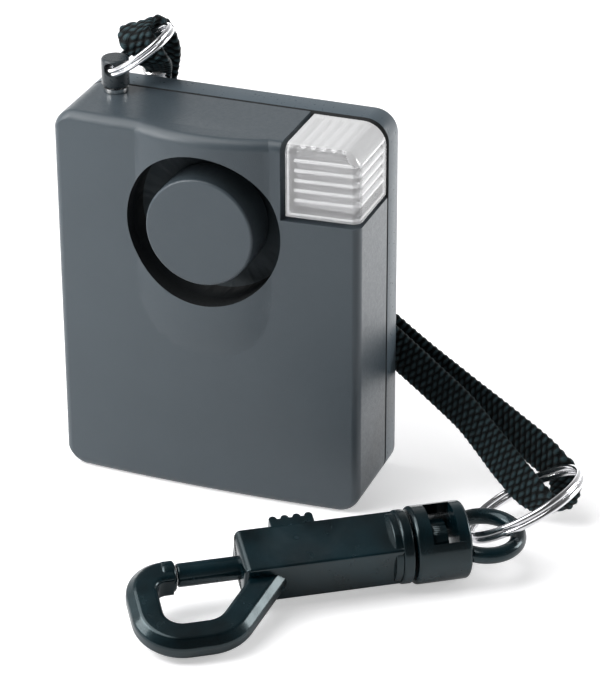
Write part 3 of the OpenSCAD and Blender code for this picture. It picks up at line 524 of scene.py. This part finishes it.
def round_flat(width, thickness, share):
    """Point and outward direction on a flat section with round edges"""
    r = thickness / 2
    flat = max(0, width - thickness)
    run = share % 1 * (2 * flat + math.tau * r)
    if run < flat:
        return (run - flat / 2, -r), (0, -1)
    run -= flat
    if run < math.pi * r:
        a = run / r - math.pi / 2
        return (flat / 2 + r * math.cos(a), r * math.sin(a)), (math.cos(a), math.sin(a))
    run -= math.pi * r
    if run < flat:
        return (flat / 2 - run, r), (0, 1)
    a = (run - flat) / r + math.pi / 2
    return (-flat / 2 + r * math.cos(a), r * math.sin(a)), (math.cos(a), math.sin(a))


def strand_height(a, b):
    """Height of the upper strand where the two slants cross"""
    along, across = a % 1 - 0.5, b % 1 - 0.5
    if (math.floor(a) + math.floor(b)) % 2:
        along, across = across, along
    return CROWN * math.cos(math.pi * across) + (1 - CROWN) * math.cos(math.pi * along)


def braid(name, route, sides, widths, strap):
    """Braided strap as one closed mesh on a slanted lattice of strands"""
    count = strap.strands
    ring = STRAND_POINTS * count
    cell = 2 * STRAND_POINTS
    edge = strap.thickness - strap.relief
    girth = 2 * (strap.width - edge) + math.pi * edge
    pitch = girth / count
    row = pitch * strap.float_length / cell
    _, length = even_steps(route, 2)
    rows = int(round(length * MM / row / 2)) * 2
    steps, length = even_steps(route, rows)
    last = len(route) - 1
    points, heights = [], []
    for r, u in enumerate(steps):
        middle = spline(route, u) * MM
        ahead = (spline(route, min(last, u + REACH)) - spline(route, max(0, u - REACH))).normalized()
        side = between(sides, u)
        side = (side - side.dot(ahead) * ahead).normalized()
        face = ahead.cross(side)
        width = strap.width * between(widths, u)
        for k in range(ring):
            c = 2 * k + r % 2
            (x, y), (nx, ny) = round_flat(width, edge, c / (2 * ring))
            heights.append(strand_height((c + r) / cell, (c - r) / cell))
            lift = strap.relief * (heights[-1] - 0.5) * (EDGE_RELIEF + (1 - EDGE_RELIEF) * ny * ny)
            points.append(middle + side * (x + nx * lift) + face * (y + ny * lift))
    faces, corners = [], []

    def at(r, c):
        """Number of the point in a row and column of the lattice"""
        return r * ring + ((c - r % 2) // 2) % ring

    def mark(r, c):
        """Place of a point counted in strands of either slant"""
        return ((c + r) / cell, (c - r) / cell)

    for r in range(rows - 1):
        for k in range(ring):
            c = 2 * k + r % 2
            quad = ((r, c), (r + 1, c + 1), (r + 2, c), (r + 1, c - 1))
            faces.append([at(*p) for p in quad])
            corners.append([mark(*p) for p in quad])
    for r, step in ((0, 1), (rows, -1)):
        for k in range(ring):
            c = 2 * k + r % 2
            rim = ((r, c), (r, c + 2), (r + step, c + 1))
            faces.append([at(*p) for p in rim])
            corners.append([mark(*p) for p in rim])
        faces.append([at(r, 2 * k + r % 2) for k in range(ring)])
        corners.append([mark(r, 2 * k + r % 2) for k in range(ring)])
    mesh = bpy.data.meshes.new(name)
    mesh.from_pydata(points, [], faces)
    mesh.attributes.new("height", "FLOAT", "POINT").data.foreach_set("value", heights)
    layer = mesh.uv_layers.new(name="strand")
    for face, marks in zip(mesh.polygons, corners):
        for loop, uv in zip(face.loop_indices, marks):
            layer.data[loop].uv = uv
    obj = new_object(name, mesh)
    bpy.ops.object.mode_set(mode="EDIT")
    bpy.ops.mesh.select_all(action="SELECT")
    bpy.ops.mesh.normals_make_consistent(inside=False)
    bpy.ops.object.mode_set(mode="OBJECT")
    bpy.ops.object.shade_smooth()
    return obj, length * MM


# Snap hook, in its own frame: along the hook, across it and up, in millimetres and degrees. Its place
# and turn, then start, end and radius of its round parts, start, end, width and height of its body, and
# start, end and half height of the slot for the thumb slide

HOOK_AT = (50.97, -23.87, 7.2)
HOOK_HEADING = -145.8
HOOK_ROLL = -15
ROUND_SIDES = 96
FLANGE = (6.2, 8.4, 6.75)
COLLAR = (7.0, 9.7, 6.2)
BORE = (10.2, 38.8, 2.2)
NOSE = (48.9, 51.4, 2.8)
BODY = (7.6, 37.3, 10.4, 8.6)
SLOT = (16.9, 29.7, 1.6)

# Rounding of the body's front rim and of the bow's section, over the hook's own edge

FRONT_RIM = 2.4
BOW_EDGE = 0.8

# Bow: where its section starts in the nose, and its bends and straight runs from there to the body

NOSE_INSET = 0.6
BOW_START = 50.9
NOSE_BEND = 4.85
LEFT_RUN = 5.0
LOW_BEND = 6.1
LOW_RUN = 4.0
ARM_BEND = 7.0
ARM_TURN = 50
ARM_RUN = 15.5


def pick(obj, test):
    """Selects the vertices whose place passes a test, in edit mode"""
    bpy.ops.mesh.select_all(action="DESELECT")
    mesh = bmesh.from_edit_mesh(obj.data)
    for vertex in mesh.verts:
        vertex.select = test(vertex.co / MM)
    mesh.select_flush(True)
    bmesh.update_edit_mesh(obj.data)


def push(*along):
    """Extrudes the selected rim in a straight line"""
    bpy.ops.mesh.extrude_region_move(TRANSFORM_OT_translate={"value": Vector(along) * MM})


def turn(across, up, angle):
    """Sweeps the selected rim round an upright axis, spin counting angles the other way"""
    bpy.ops.mesh.spin(
        steps=max(6, int(angle / 6)), angle=-math.radians(angle), axis=(0, 0, 1),
        center=Vector((across, up, 0)) * MM)


def round_bar(name, start, end, radius, edge):
    """Bar along the hook with rounded ends"""
    bpy.ops.object.select_all(action="DESELECT")
    bpy.ops.mesh.primitive_cylinder_add(
        vertices=ROUND_SIDES, radius=radius * MM, depth=(end - start) * MM,
        location=((start + end) / 2 * MM, 0, 0), rotation=(0, math.pi / 2, 0))
    bpy.ops.object.transform_apply()
    obj = bpy.context.object
    obj.name = name
    if edge:
        bpy.ops.object.mode_set(mode="EDIT")
        bpy.ops.mesh.select_all(action="DESELECT")
        mesh = bmesh.from_edit_mesh(obj.data)
        for side in mesh.edges:
            side.select = abs(side.verts[0].co.x - side.verts[1].co.x) < 0.1 * MM
        bmesh.update_edit_mesh(obj.data)
        bpy.ops.mesh.bevel(offset=edge, segments=4, affect="EDGES")
        bpy.ops.object.mode_set(mode="OBJECT")
    return obj


def block(name, low, high):
    """Rectangular block between two corners"""
    low, high = Vector(low) * MM, Vector(high) * MM
    bpy.ops.object.select_all(action="DESELECT")
    bpy.ops.mesh.primitive_cube_add(size=1, location=(low + high) / 2)
    obj = bpy.context.object
    obj.name = name
    bpy.ops.object.mode_set(mode="EDIT")
    bpy.ops.transform.resize(value=high - low)
    bpy.ops.object.mode_set(mode="OBJECT")
    bpy.ops.object.transform_apply()
    return obj


def body_block(hook):
    """Body of the hook: long edges broken, the rim of its front end rounded"""
    start, end, width, height = BODY
    obj = block("hook_body_block", (start, -width / 2, -height / 2), (end, width / 2, height / 2))
    bpy.ops.object.mode_set(mode="EDIT")
    mesh = bmesh.from_edit_mesh(obj.data)
    bpy.ops.mesh.select_all(action="DESELECT")
    for side in mesh.edges:
        side.select = abs(side.verts[0].co.x - side.verts[1].co.x) > MM
    bmesh.update_edit_mesh(obj.data)
    bpy.ops.mesh.bevel(offset=hook.edge, segments=4, affect="EDGES")
    pick(obj, lambda p: p.x > end - 0.1)
    bpy.ops.mesh.bevel(offset=hook.edge * FRONT_RIM, segments=6, affect="EDGES")
    bpy.ops.object.mode_set(mode="OBJECT")
    return obj


def bow_bar(hook):
    """Bow of the hook: a bevelled section swept from the nose round to the body"""
    bpy.ops.object.select_all(action="DESELECT")
    bpy.ops.mesh.primitive_plane_add(
        size=1, location=((NOSE[0] + NOSE_INSET) * MM, 0, 0), rotation=(math.pi / 2, 0, math.pi / 2))
    obj = bpy.context.object
    obj.name = "hook_bow_bar"
    bpy.ops.object.transform_apply()
    bpy.ops.object.mode_set(mode="EDIT")
    bpy.ops.transform.resize(value=(1, hook.bow_width, hook.bow_thickness))
    pick(obj, lambda p: p.y < 0)
    bpy.ops.mesh.bevel(offset=hook.outer_bevel, affect="VERTICES", segments=1)
    pick(obj, lambda p: p.y > 0)
    bpy.ops.mesh.bevel(offset=hook.inner_bevel, affect="VERTICES", segments=1)
    bpy.ops.mesh.select_all(action="SELECT")
    bpy.ops.mesh.bevel(offset=hook.edge * BOW_EDGE, affect="VERTICES", segments=4)
    bpy.ops.mesh.select_all(action="SELECT")
    bpy.ops.mesh.delete(type="ONLY_FACE")
    bpy.ops.mesh.select_all(action="SELECT")
    left = BOW_START + NOSE_BEND
    low = NOSE_BEND + LEFT_RUN + LOW_BEND
    push(BOW_START - NOSE[0] - NOSE_INSET, 0, 0)
    turn(BOW_START, NOSE_BEND, 90)
    push(0, LEFT_RUN, 0)
    turn(left - LOW_BEND, low - LOW_BEND, 90)
    push(-LOW_RUN, 0, 0)
    turn(left - LOW_BEND - LOW_RUN, low - ARM_BEND, ARM_TURN)
    arm = math.radians(180 + ARM_TURN)
    push(ARM_RUN * math.cos(arm), ARM_RUN * math.sin(arm), 0)
    bpy.ops.mesh.select_all(action="SELECT")
    bpy.ops.mesh.remove_doubles(threshold=0.000001)
    bpy.ops.mesh.fill_holes(sides=0)
    bpy.ops.mesh.normals_make_consistent(inside=False)
    bpy.ops.object.mode_set(mode="OBJECT")
    return obj


def combine(obj, other, operation):
    """Joins or cuts one shell by another, which is then removed"""
    select_only(obj)
    change = obj.modifiers.new("change", "BOOLEAN")
    change.operation = operation
    change.solver = "MANIFOLD"
    change.object = other
    bpy.ops.object.modifier_apply(modifier=change.name)
    bpy.data.objects.remove(other, do_unlink=True)


def hook_shell(hook):
    """Body, flange and bow of the hook as one shell, in the place of its solid"""
    obj = body_block(hook)
    combine(obj, round_bar("hook_flange", *FLANGE, hook.edge), "UNION")
    combine(obj, round_bar("hook_collar", *COLLAR, hook.edge / 2), "UNION")
    combine(obj, bow_bar(hook), "UNION")
    combine(obj, round_bar("hook_nose", *NOSE, hook.edge), "UNION")
    combine(obj, round_bar("hook_bore", *BORE, 0), "DIFFERENCE")
    slot = block("hook_slot", (SLOT[0], -BODY[2], -SLOT[2]), (SLOT[1], 0, SLOT[2]))
    combine(obj, slot, "DIFFERENCE")
    obj.name = "hook_body_shell"
    obj.matrix_world = (
        Matrix.Translation(Vector(HOOK_AT) * MM) @ Matrix.Rotation(math.radians(HOOK_HEADING), 4, "Z")
        @ Matrix.Rotation(math.radians(HOOK_ROLL), 4, "X"))
    select_only(obj)
    bpy.ops.object.transform_apply()
    smooth(obj, 25)
    return obj


# Ribs and rim of the strobe lens, painted near opaque white as the glints along their edges, in
# millimetres: radii, the first row round its front corner, the first line over its top, and the paths that
# they follow

RIB_COUNT = 5
RIB_STEP = 1.95
FRONT_RIB = 0.34
SIDE_RIB = 0.6
TOP_RIB = 0.52
RIM_GLINT = 0.22
FIRST_ROW = 71.2
FIRST_LINE = 26.6
ROW_PATH = ((17.7, -9.2), (28.7, -8.4), (29.3, -7.6))
SIDE_ENDS = ((29.25, -7.3), (29.25, 4.4))
LINE_ENDS = ((-7.8, 73.55), (4.4, 73.55))
RIM_GLINT_PATH = (
    (16.5, -8.4, 73.75), (16.5, -9.3, 72.8), (16.5, -9.3, 60.6), (28.6, -8.45, 60.6),
    (29.55, -7.4, 60.6), (29.6, 4.9, 60.6), (29.6, 4.9, 70.0), (28.4, 4.9, 72.7),
    (25.8, 4.9, 73.75), (16.5, 4.9, 73.75), (16.5, -8.4, 73.75))


def rod(start, end, radius):
    """Straight round rod between two points"""
    start, end = Vector(start) * MM, Vector(end) * MM
    bpy.ops.mesh.primitive_cylinder_add(
        vertices=16, radius=radius * MM, depth=(end - start).length, location=(start + end) / 2,
        rotation=(end - start).to_track_quat("Z", "Y").to_euler())
    bpy.ops.object.transform_apply()
    return bpy.context.object


# Horn hole's radius, its middle's height and the rear side of the seam, in millimetres, which bound the
# faces painted dark as shade, and the rear shell's tone over the front shell's, painted lighter for the
# light that the rear shell catches

HORN_RADIUS = 15.1
HORN_HEIGHT = 55.2
SEAM = 6.75
REAR_LIGHT = 1.6


def lines_bore(place, normal):
    """Tells whether a face lines the horn hole, where shade is painted"""
    off = abs(math.hypot(place.x, place.z - HORN_HEIGHT) - HORN_RADIUS)
    return off < 0.12 and abs(normal.y) < 0.3


# Pieces

class ALARM_OT_strap_tail(bpy.types.Operator):
    """Doubled strap from the clamp through the hook's ring and back"""

    bl_idname = "alarm.strap_tail"
    bl_label = "Strap"

    def execute(self, context):
        strap = context.scene.alarm_strap
        obj, length = braid("strap_tail_braid", TAIL_ROUTE, TAIL_SIDES, TAIL_WIDTHS, strap)
        obj.data.materials.append(yarn("strap_yarn", strap.colour))
        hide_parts("strap_tail")
        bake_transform(obj)
        return {"FINISHED"}


class ALARM_OT_strap_loop(bpy.types.Operator):
    """Small strap loop through the pin's ring"""

    bl_idname = "alarm.strap_loop"
    bl_label = "Strap Loop"

    def execute(self, context):
        strap = context.scene.alarm_strap
        obj, _ = braid("strap_loop_braid", LOOP_ROUTE, LOOP_SIDES, LOOP_WIDTHS, strap)
        obj.data.materials.append(yarn("loop_yarn", strap.colour))
        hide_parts("strap_loop")
        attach(obj, "pull_pin")
        return {"FINISHED"}


class ALARM_OT_case(bpy.types.Operator):
    """Front and rear shell with their mould texture, painted shade in the seam and the horn hole, a rear
    shell painted lighter, and the screws
    """

    bl_idname = "alarm.case"
    bl_label = "Case"

    def execute(self, context):
        case = context.scene.alarm_case
        grey = moulded("case_grey_moulded", case.colour, case.roughness, case.grain, 0.000035)
        # pale: painted light, the case grey made lighter on the rear shell for the light that it catches
        # from behind
        pale = moulded(
            "rear_grey_painted_light", scaled(case.colour, REAR_LIGHT), case.roughness - 0.05, case.grain, 0.00003)
        # gap: near black painted shade on the faces that line the horn hole and on the rear shell's seam
        # groove, where shade falls
        gap = moulded("gap_painted_shade", scaled(case.colour, 0.1), 0.7, case.grain, 0.00001)
        front = dress("front_shell", grey, 35, 0.0002)
        line_faces(front, gap, lines_bore)
        rear = dress("rear_shell", pale, 35)
        line_faces(rear, gap, lambda p, n: p.y < SEAM + 0.01)
        dress("case_screws", bright_metal("screw_steel", (0.45, 0.46, 0.48), 0.32))
        return {"FINISHED"}


class ALARM_OT_horn(bpy.types.Operator):
    """Horn cup, plug and the sounder behind them"""

    bl_idname = "alarm.horn"
    bl_label = "Horn"

    def execute(self, context):
        case = context.scene.alarm_case
        black = moulded("horn_black_moulded", (0.001, 0.003, 0.005), 0.65, 0.0003, 0.00001)
        cup = dress("horn_cup", black)
        # dark: a grey painted on the cup's floor, lighter than the cup's black, as the light that reaches
        # the floor, and on the plug's sides, darker than the plug, as painted shade inside the hole
        dark = moulded("horn_painted_light_and_shade", (0.045, 0.062, 0.074), 0.6, 0.0003, 0.00001)
        line_faces(cup, dark, lambda p, n: n.y < -0.9)
        grey = moulded("plug_grey_moulded", case.colour, case.roughness, case.grain, 0.000035)
        plug = dress("horn_plug", grey)
        line_faces(plug, dark, lambda p, n: n.y > -0.2)
        paint("siren_plate", bright_metal("plate_brass", (0.72, 0.55, 0.28), 0.3))
        paint("siren_ceramic", moulded("ceramic_cream", (0.7, 0.68, 0.6), 0.5, 0.0004, 0.00002))
        paint("siren_cap", moulded("cap_black", (0.015, 0.016, 0.018), 0.55, 0.0004, 0.00003))
        return {"FINISHED"}


class ALARM_OT_strobe(bpy.types.Operator):
    """Clear corner lens with the reflector and lamp behind it"""

    bl_idname = "alarm.strobe"
    bl_label = "Strobe"

    def execute(self, context):
        lens = context.scene.alarm_lens
        clear = clear_plastic("lens_clear_moulded", lens.tint, 0.05, lens.milk)
        obj = dress("strobe_lens", clear, edge=0.00025)
        # the top and its corner faces get the more opaque white, as painted light from above
        top_light = clear_plastic("lens_top_painted_light", lens.tint, 0.1, lens.top_light)
        line_faces(obj, top_light, lambda p, n: n.z > 0.9 or min(n.x, n.z) > 0.3)
        self.add_ribs(obj, clear_plastic("lens_rib_painted_glint", lens.tint, 0.12, lens.rib_glint))
        white = moulded("reflector_white_moulded", (0.86, 0.86, 0.87), 0.3, 0.0004, 0.00001, 0.02)
        dress("strobe_reflector", white)
        dress("strobe_lamp", clear_plastic("lamp_clear_cast", (0.98, 0.98, 0.97), 0.05, 0.4))
        paint("lamp_legs", bright_metal("leg_tin", (0.7, 0.7, 0.68), 0.35))
        return {"FINISHED"}

    def add_ribs(self, lens, material):
        """Ribs and a rim under the skin of the lens, painted bright as the glints that their edges catch"""
        rods = [rod(start, end, RIM_GLINT) for start, end in zip(RIM_GLINT_PATH, RIM_GLINT_PATH[1:])]
        for k in range(RIB_COUNT):
            row = [(*place, FIRST_ROW - k * RIB_STEP) for place in ROW_PATH]
            rods += [rod(start, end, FRONT_RIB) for start, end in zip(row, row[1:])]
            rods.append(rod(*((*place, FIRST_ROW - k * RIB_STEP) for place in SIDE_ENDS), SIDE_RIB))
            rods.append(rod(*((FIRST_LINE - k * RIB_STEP, *place) for place in LINE_ENDS), TOP_RIB))
        for part in rods:
            part.data.materials.append(material)
            part.select_set(True)
        lens.select_set(True)
        bpy.context.view_layer.objects.active = lens
        bpy.ops.object.join()
        smooth(lens, 30)


class ALARM_OT_pull_pin(bpy.types.Operator):
    """Pull pin with its ring, socket and the strap clamp"""

    bl_idname = "alarm.pull_pin"
    bl_label = "Pull Pin"

    def execute(self, context):
        chrome = bright_metal("ring_chrome", (0.82, 0.83, 0.85), 0.1)
        black = moulded("pin_black_moulded", (0.030, 0.039, 0.045), 0.3, 0.0002, 0.00002)
        dress("pin_socket", bright_metal("socket_chrome", (0.88, 0.88, 0.87), 0.1))
        dress("pin_head", black, edge=0.0001)
        dress("pin_shank", bright_metal("shank_steel", (0.6, 0.6, 0.62), 0.25))
        dress("pin_ring", chrome)
        dress("strap_clamp", bright_metal("clamp_nickel", (0.9, 0.9, 0.9), 0.24))
        return {"FINISHED"}


class ALARM_OT_snap_hook(bpy.types.Operator):
    """Swivel snap hook with its latch and the ring on its eye"""

    bl_idname = "alarm.snap_hook"
    bl_label = "Snap Hook"

    def execute(self, context):
        hook = context.scene.alarm_hook
        black = gloss_moulded("hook_black_moulded", hook.colour, hook.roughness)
        obj = hook_shell(hook)
        obj.data.materials.clear()
        obj.data.materials.append(black)
        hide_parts("hook_body")
        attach(obj, body_of("hook_body"))
        dress("swivel_barrel", black, edge=0.0002)
        dress("thumb_slide", black, edge=0.0002)
        dress("swivel_stem", black)
        dress("latch_bolt", black)
        dress("hook_ring", bright_metal("hook_ring_chrome", (0.82, 0.82, 0.84), 0.14))
        paint("latch_spring", bright_metal("spring_steel", (0.55, 0.56, 0.58), 0.25))
        return {"FINISHED"}


class ALARM_OT_inside(bpy.types.Operator):
    """Finishes of the pieces inside the case"""

    bl_idname = "alarm.inside"
    bl_label = "Inside"

    def execute(self, context):
        board = moulded("board_green_mask", (0.02, 0.13, 0.05), 0.35, 0.0006, 0.00001, 0.2)
        copper = bright_metal("coil_copper", (0.72, 0.33, 0.16), 0.3, (1, 1, 8))
        steel = bright_metal("contact_steel", (0.62, 0.62, 0.6), 0.28)
        dark = moulded("ferrite_dark", (0.03, 0.03, 0.032), 0.6, 0.0005, 0.00004)
        paint("circuit_board", board)
        paint("siren_coil", copper)
        paint("coil_core", dark)
        paint("capacitor", moulded("capacitor_blue_sleeve", (0.03, 0.06, 0.2), 0.35, 0.0008, 0.00001))
        paint("driver_chip", moulded("chip_black", (0.02, 0.02, 0.022), 0.5, 0.0003, 0.00003))
        paint("battery", moulded("battery_dark_sleeve", (0.04, 0.042, 0.05), 0.35, 0.0015, 0.00002, 0.15))
        paint("battery_terminals", steel)
        paint("battery_snap", moulded("snap_black", (0.018, 0.018, 0.02), 0.6, 0.0005, 0.00005))
        paint("lead_red", moulded("lead_red_sleeve", (0.45, 0.02, 0.015), 0.4, 0.0006, 0.00001))
        paint("lead_black", moulded("lead_black_sleeve", (0.015, 0.015, 0.016), 0.4, 0.0006, 0.00001))
        paint("switch_base", moulded("switch_cream", (0.55, 0.52, 0.42), 0.5, 0.0005, 0.00002))
        paint("switch_leaves", bright_metal("leaf_bronze", (0.75, 0.55, 0.33), 0.25))
        return {"FINISHED"}


# Stage, in metres: place, aim and size of each lamp, and the floor's size and depth below the object

LAMPS = {
    "overhead": ((-0.45, -0.20, 0.90), (0, 0, 0.02), 0.9),
    "front_left": ((-0.15, -0.12, 0.14), (-0.01, 0, 0.05), 0.12),
    "rear_right": ((0.86, 0.52, 0.37), (0, 0, 0.03), 0.4),
}
FLOOR_SIZE = 8
FLOOR_DROP = 0.00002
LEAN = -0.6


class ALARM_OT_stage(bpy.types.Operator):
    """Pale floor, soft lights, even surroundings and the camera"""

    bl_idname = "alarm.stage"
    bl_label = "Stage"

    def execute(self, context):
        stage = context.scene.alarm_stage
        bpy.ops.object.select_all(action="DESELECT")
        bpy.ops.mesh.primitive_plane_add(size=FLOOR_SIZE, location=(0, 0, -FLOOR_DROP))
        floor = context.object
        floor.name = "floor"
        bpy.ops.object.transform_apply(location=True)
        floor.data.materials.append(self.sweep(stage))
        self.light("overhead", *LAMPS["overhead"], stage.overhead)
        self.light("front_left", *LAMPS["front_left"], stage.left)
        self.light("rear_right", *LAMPS["rear_right"], stage.right)
        self.surroundings(context, stage)
        self.camera(context, stage)
        context.scene.view_settings.view_transform = "Standard"
        return {"FINISHED"}

    def sweep(self, stage):
        """Pale paper, seen white where it is lit, with the shadows kept"""
        finish = Finish("floor_pale", stage.floor, 0.6, specular_ior_level=0.2)
        finish.rough(finish.noise(0.05, 2), 0.55, 0.65)
        glow = finish.add("ShaderNodeEmission")
        path = finish.add("ShaderNodeLightPath")
        seen = finish.math("MAXIMUM", path.outputs["Is Camera Ray"], path.outputs["Is Transmission Ray"])
        parts = finish.add("ShaderNodeSeparateXYZ")
        finish.join(finish.place(), parts.inputs["Vector"])
        behind = finish.spread(parts.outputs["Y"], 0, stage.mirrored, -0.04, 0.14)
        mirrored = finish.math("MULTIPLY", path.outputs["Is Glossy Ray"], behind)
        finish.join(finish.math("MULTIPLY_ADD", seen, stage.lift, mirrored), glow.inputs["Strength"])
        both = finish.add("ShaderNodeAddShader")
        finish.join(finish.shader.outputs["BSDF"], both.inputs[0])
        finish.join(glow.outputs["Emission"], both.inputs[1])
        finish.join(both.outputs["Shader"], finish.nodes["Material Output"].inputs["Surface"])
        return finish.material

    def light(self, name, place, aim, size, power):
        """Square soft light turned to its aim"""
        bpy.ops.object.light_add(type="AREA", location=place)
        lamp = bpy.context.object
        lamp.name = name
        lamp.rotation_euler = (Vector(aim) - Vector(place)).to_track_quat("-Z", "Y").to_euler()
        lamp.data.shape = "SQUARE"
        lamp.data.size = size
        lamp.data.energy = power

    def surroundings(self, context, stage):
        """White seen straight; else light that is strongest at the horizon behind and to the left"""
        world = bpy.data.worlds.new("surroundings")
        context.scene.world = world
        world.use_nodes = True
        tree = world.node_tree
        nodes, links = tree.nodes, tree.links
        even = nodes["Background"]
        place = nodes.new("ShaderNodeTexCoord")
        parts = nodes.new("ShaderNodeSeparateXYZ")
        links.new(place.outputs["Generated"], parts.inputs["Vector"])
        fade = ramp(tree, parts.outputs["Z"], 0.05, 0.85, stage.horizon, stage.ambient)
        fade.interpolation_type = "SMOOTHSTEP"
        lean = nodes.new("ShaderNodeMath")
        lean.operation = "MULTIPLY_ADD"
        lean.inputs[1].default_value = LEAN
        links.new(parts.outputs["X"], lean.inputs[0])
        links.new(parts.outputs["Y"], lean.inputs[2])
        back = ramp(tree, lean.outputs["Value"], -0.6, 0.6, 0.2, 1)
        level = nodes.new("ShaderNodeMath")
        level.operation = "MULTIPLY"
        links.new(fade.outputs["Result"], level.inputs[0])
        links.new(back.outputs["Result"], level.inputs[1])
        links.new(level.outputs["Value"], even.inputs["Strength"])
        white = nodes.new("ShaderNodeBackground")
        white.inputs["Color"].default_value = (1, 1, 1, 1)
        even.inputs["Color"].default_value = (1, 1, 1, 1)
        path = nodes.new("ShaderNodeLightPath")
        mix = nodes.new("ShaderNodeMixShader")
        links.new(path.outputs["Is Camera Ray"], mix.inputs["Fac"])
        links.new(even.outputs["Background"], mix.inputs[1])
        links.new(white.outputs["Background"], mix.inputs[2])
        links.new(mix.outputs["Shader"], nodes["World Output"].inputs["Surface"])

    def camera(self, context, stage):
        """Camera at the photograph's viewing angle"""
        eye, aim = Vector(stage.eye), Vector(stage.aim)
        view = (aim - eye).normalized()
        right = view.cross(Vector((0, 0, 1))).normalized()
        up = right.cross(view)
        turn = stage.roll
        across = right * math.cos(turn) + up * math.sin(turn)
        upright = up * math.cos(turn) - right * math.sin(turn)
        bpy.ops.object.camera_add(location=eye)
        camera = context.object
        camera.name = "photo_camera"
        camera.matrix_world = Matrix((
            (across.x, upright.x, -view.x, eye.x),
            (across.y, upright.y, -view.y, eye.y),
            (across.z, upright.z, -view.z, eye.z),
            (0, 0, 0, 1)))
        camera.data.sensor_fit = "HORIZONTAL"
        camera.data.sensor_width = 36
        camera.data.lens = stage.lens
        camera.data.clip_start = 0.01
        camera.data.clip_end = 50
        context.scene.camera = camera


class ALARM_PT_panel(bpy.types.Panel):
    """Sidebar list of the alarm's pieces"""

    bl_idname = "ALARM_PT_panel"
    bl_label = "Safety Alarm"
    bl_space_type = "VIEW_3D"
    bl_region_type = "UI"
    bl_category = "Alarm"

    def draw(self, context):
        """Lists the sizes and colours, then the pieces"""
        for name in GROUPS:
            settings = getattr(context.scene, name)
            box = self.layout.box()
            for key in settings.__annotations__:
                box.prop(settings, key)
        for piece in PIECES:
            self.layout.operator(piece.bl_idname)


GROUPS = {
    "alarm_case": CaseFinish,
    "alarm_strap": StrapBraid,
    "alarm_hook": HookForm,
    "alarm_lens": LensFinish,
    "alarm_stage": StageSetup,
}
PIECES = (
    ALARM_OT_stage, ALARM_OT_strap_tail, ALARM_OT_strap_loop, ALARM_OT_case, ALARM_OT_horn,
    ALARM_OT_strobe, ALARM_OT_pull_pin, ALARM_OT_snap_hook, ALARM_OT_inside)


def register():
    """Makes the groups, pieces and panel known"""
    for group in GROUPS.values():
        bpy.utils.register_class(group)
    for piece in PIECES:
        bpy.utils.register_class(piece)
    bpy.utils.register_class(ALARM_PT_panel)
    for name, group in GROUPS.items():
        setattr(bpy.types.Scene, name, PointerProperty(type=group))


def unregister():
    """Takes them back in reverse order"""
    for name in GROUPS:
        delattr(bpy.types.Scene, name)
    bpy.utils.unregister_class(ALARM_PT_panel)
    for piece in reversed(PIECES):
        bpy.utils.unregister_class(piece)
    for group in reversed(list(GROUPS.values())):
        bpy.utils.unregister_class(group)


def main():
    """Makes every piece in order"""
    register()
    bpy.ops.alarm.stage()
    bpy.ops.alarm.strap_tail()
    bpy.ops.alarm.strap_loop()
    bpy.ops.alarm.case()
    bpy.ops.alarm.horn()
    bpy.ops.alarm.strobe()
    bpy.ops.alarm.pull_pin()
    bpy.ops.alarm.snap_hook()
    bpy.ops.alarm.inside()


if __name__ == "__main__":
    main()
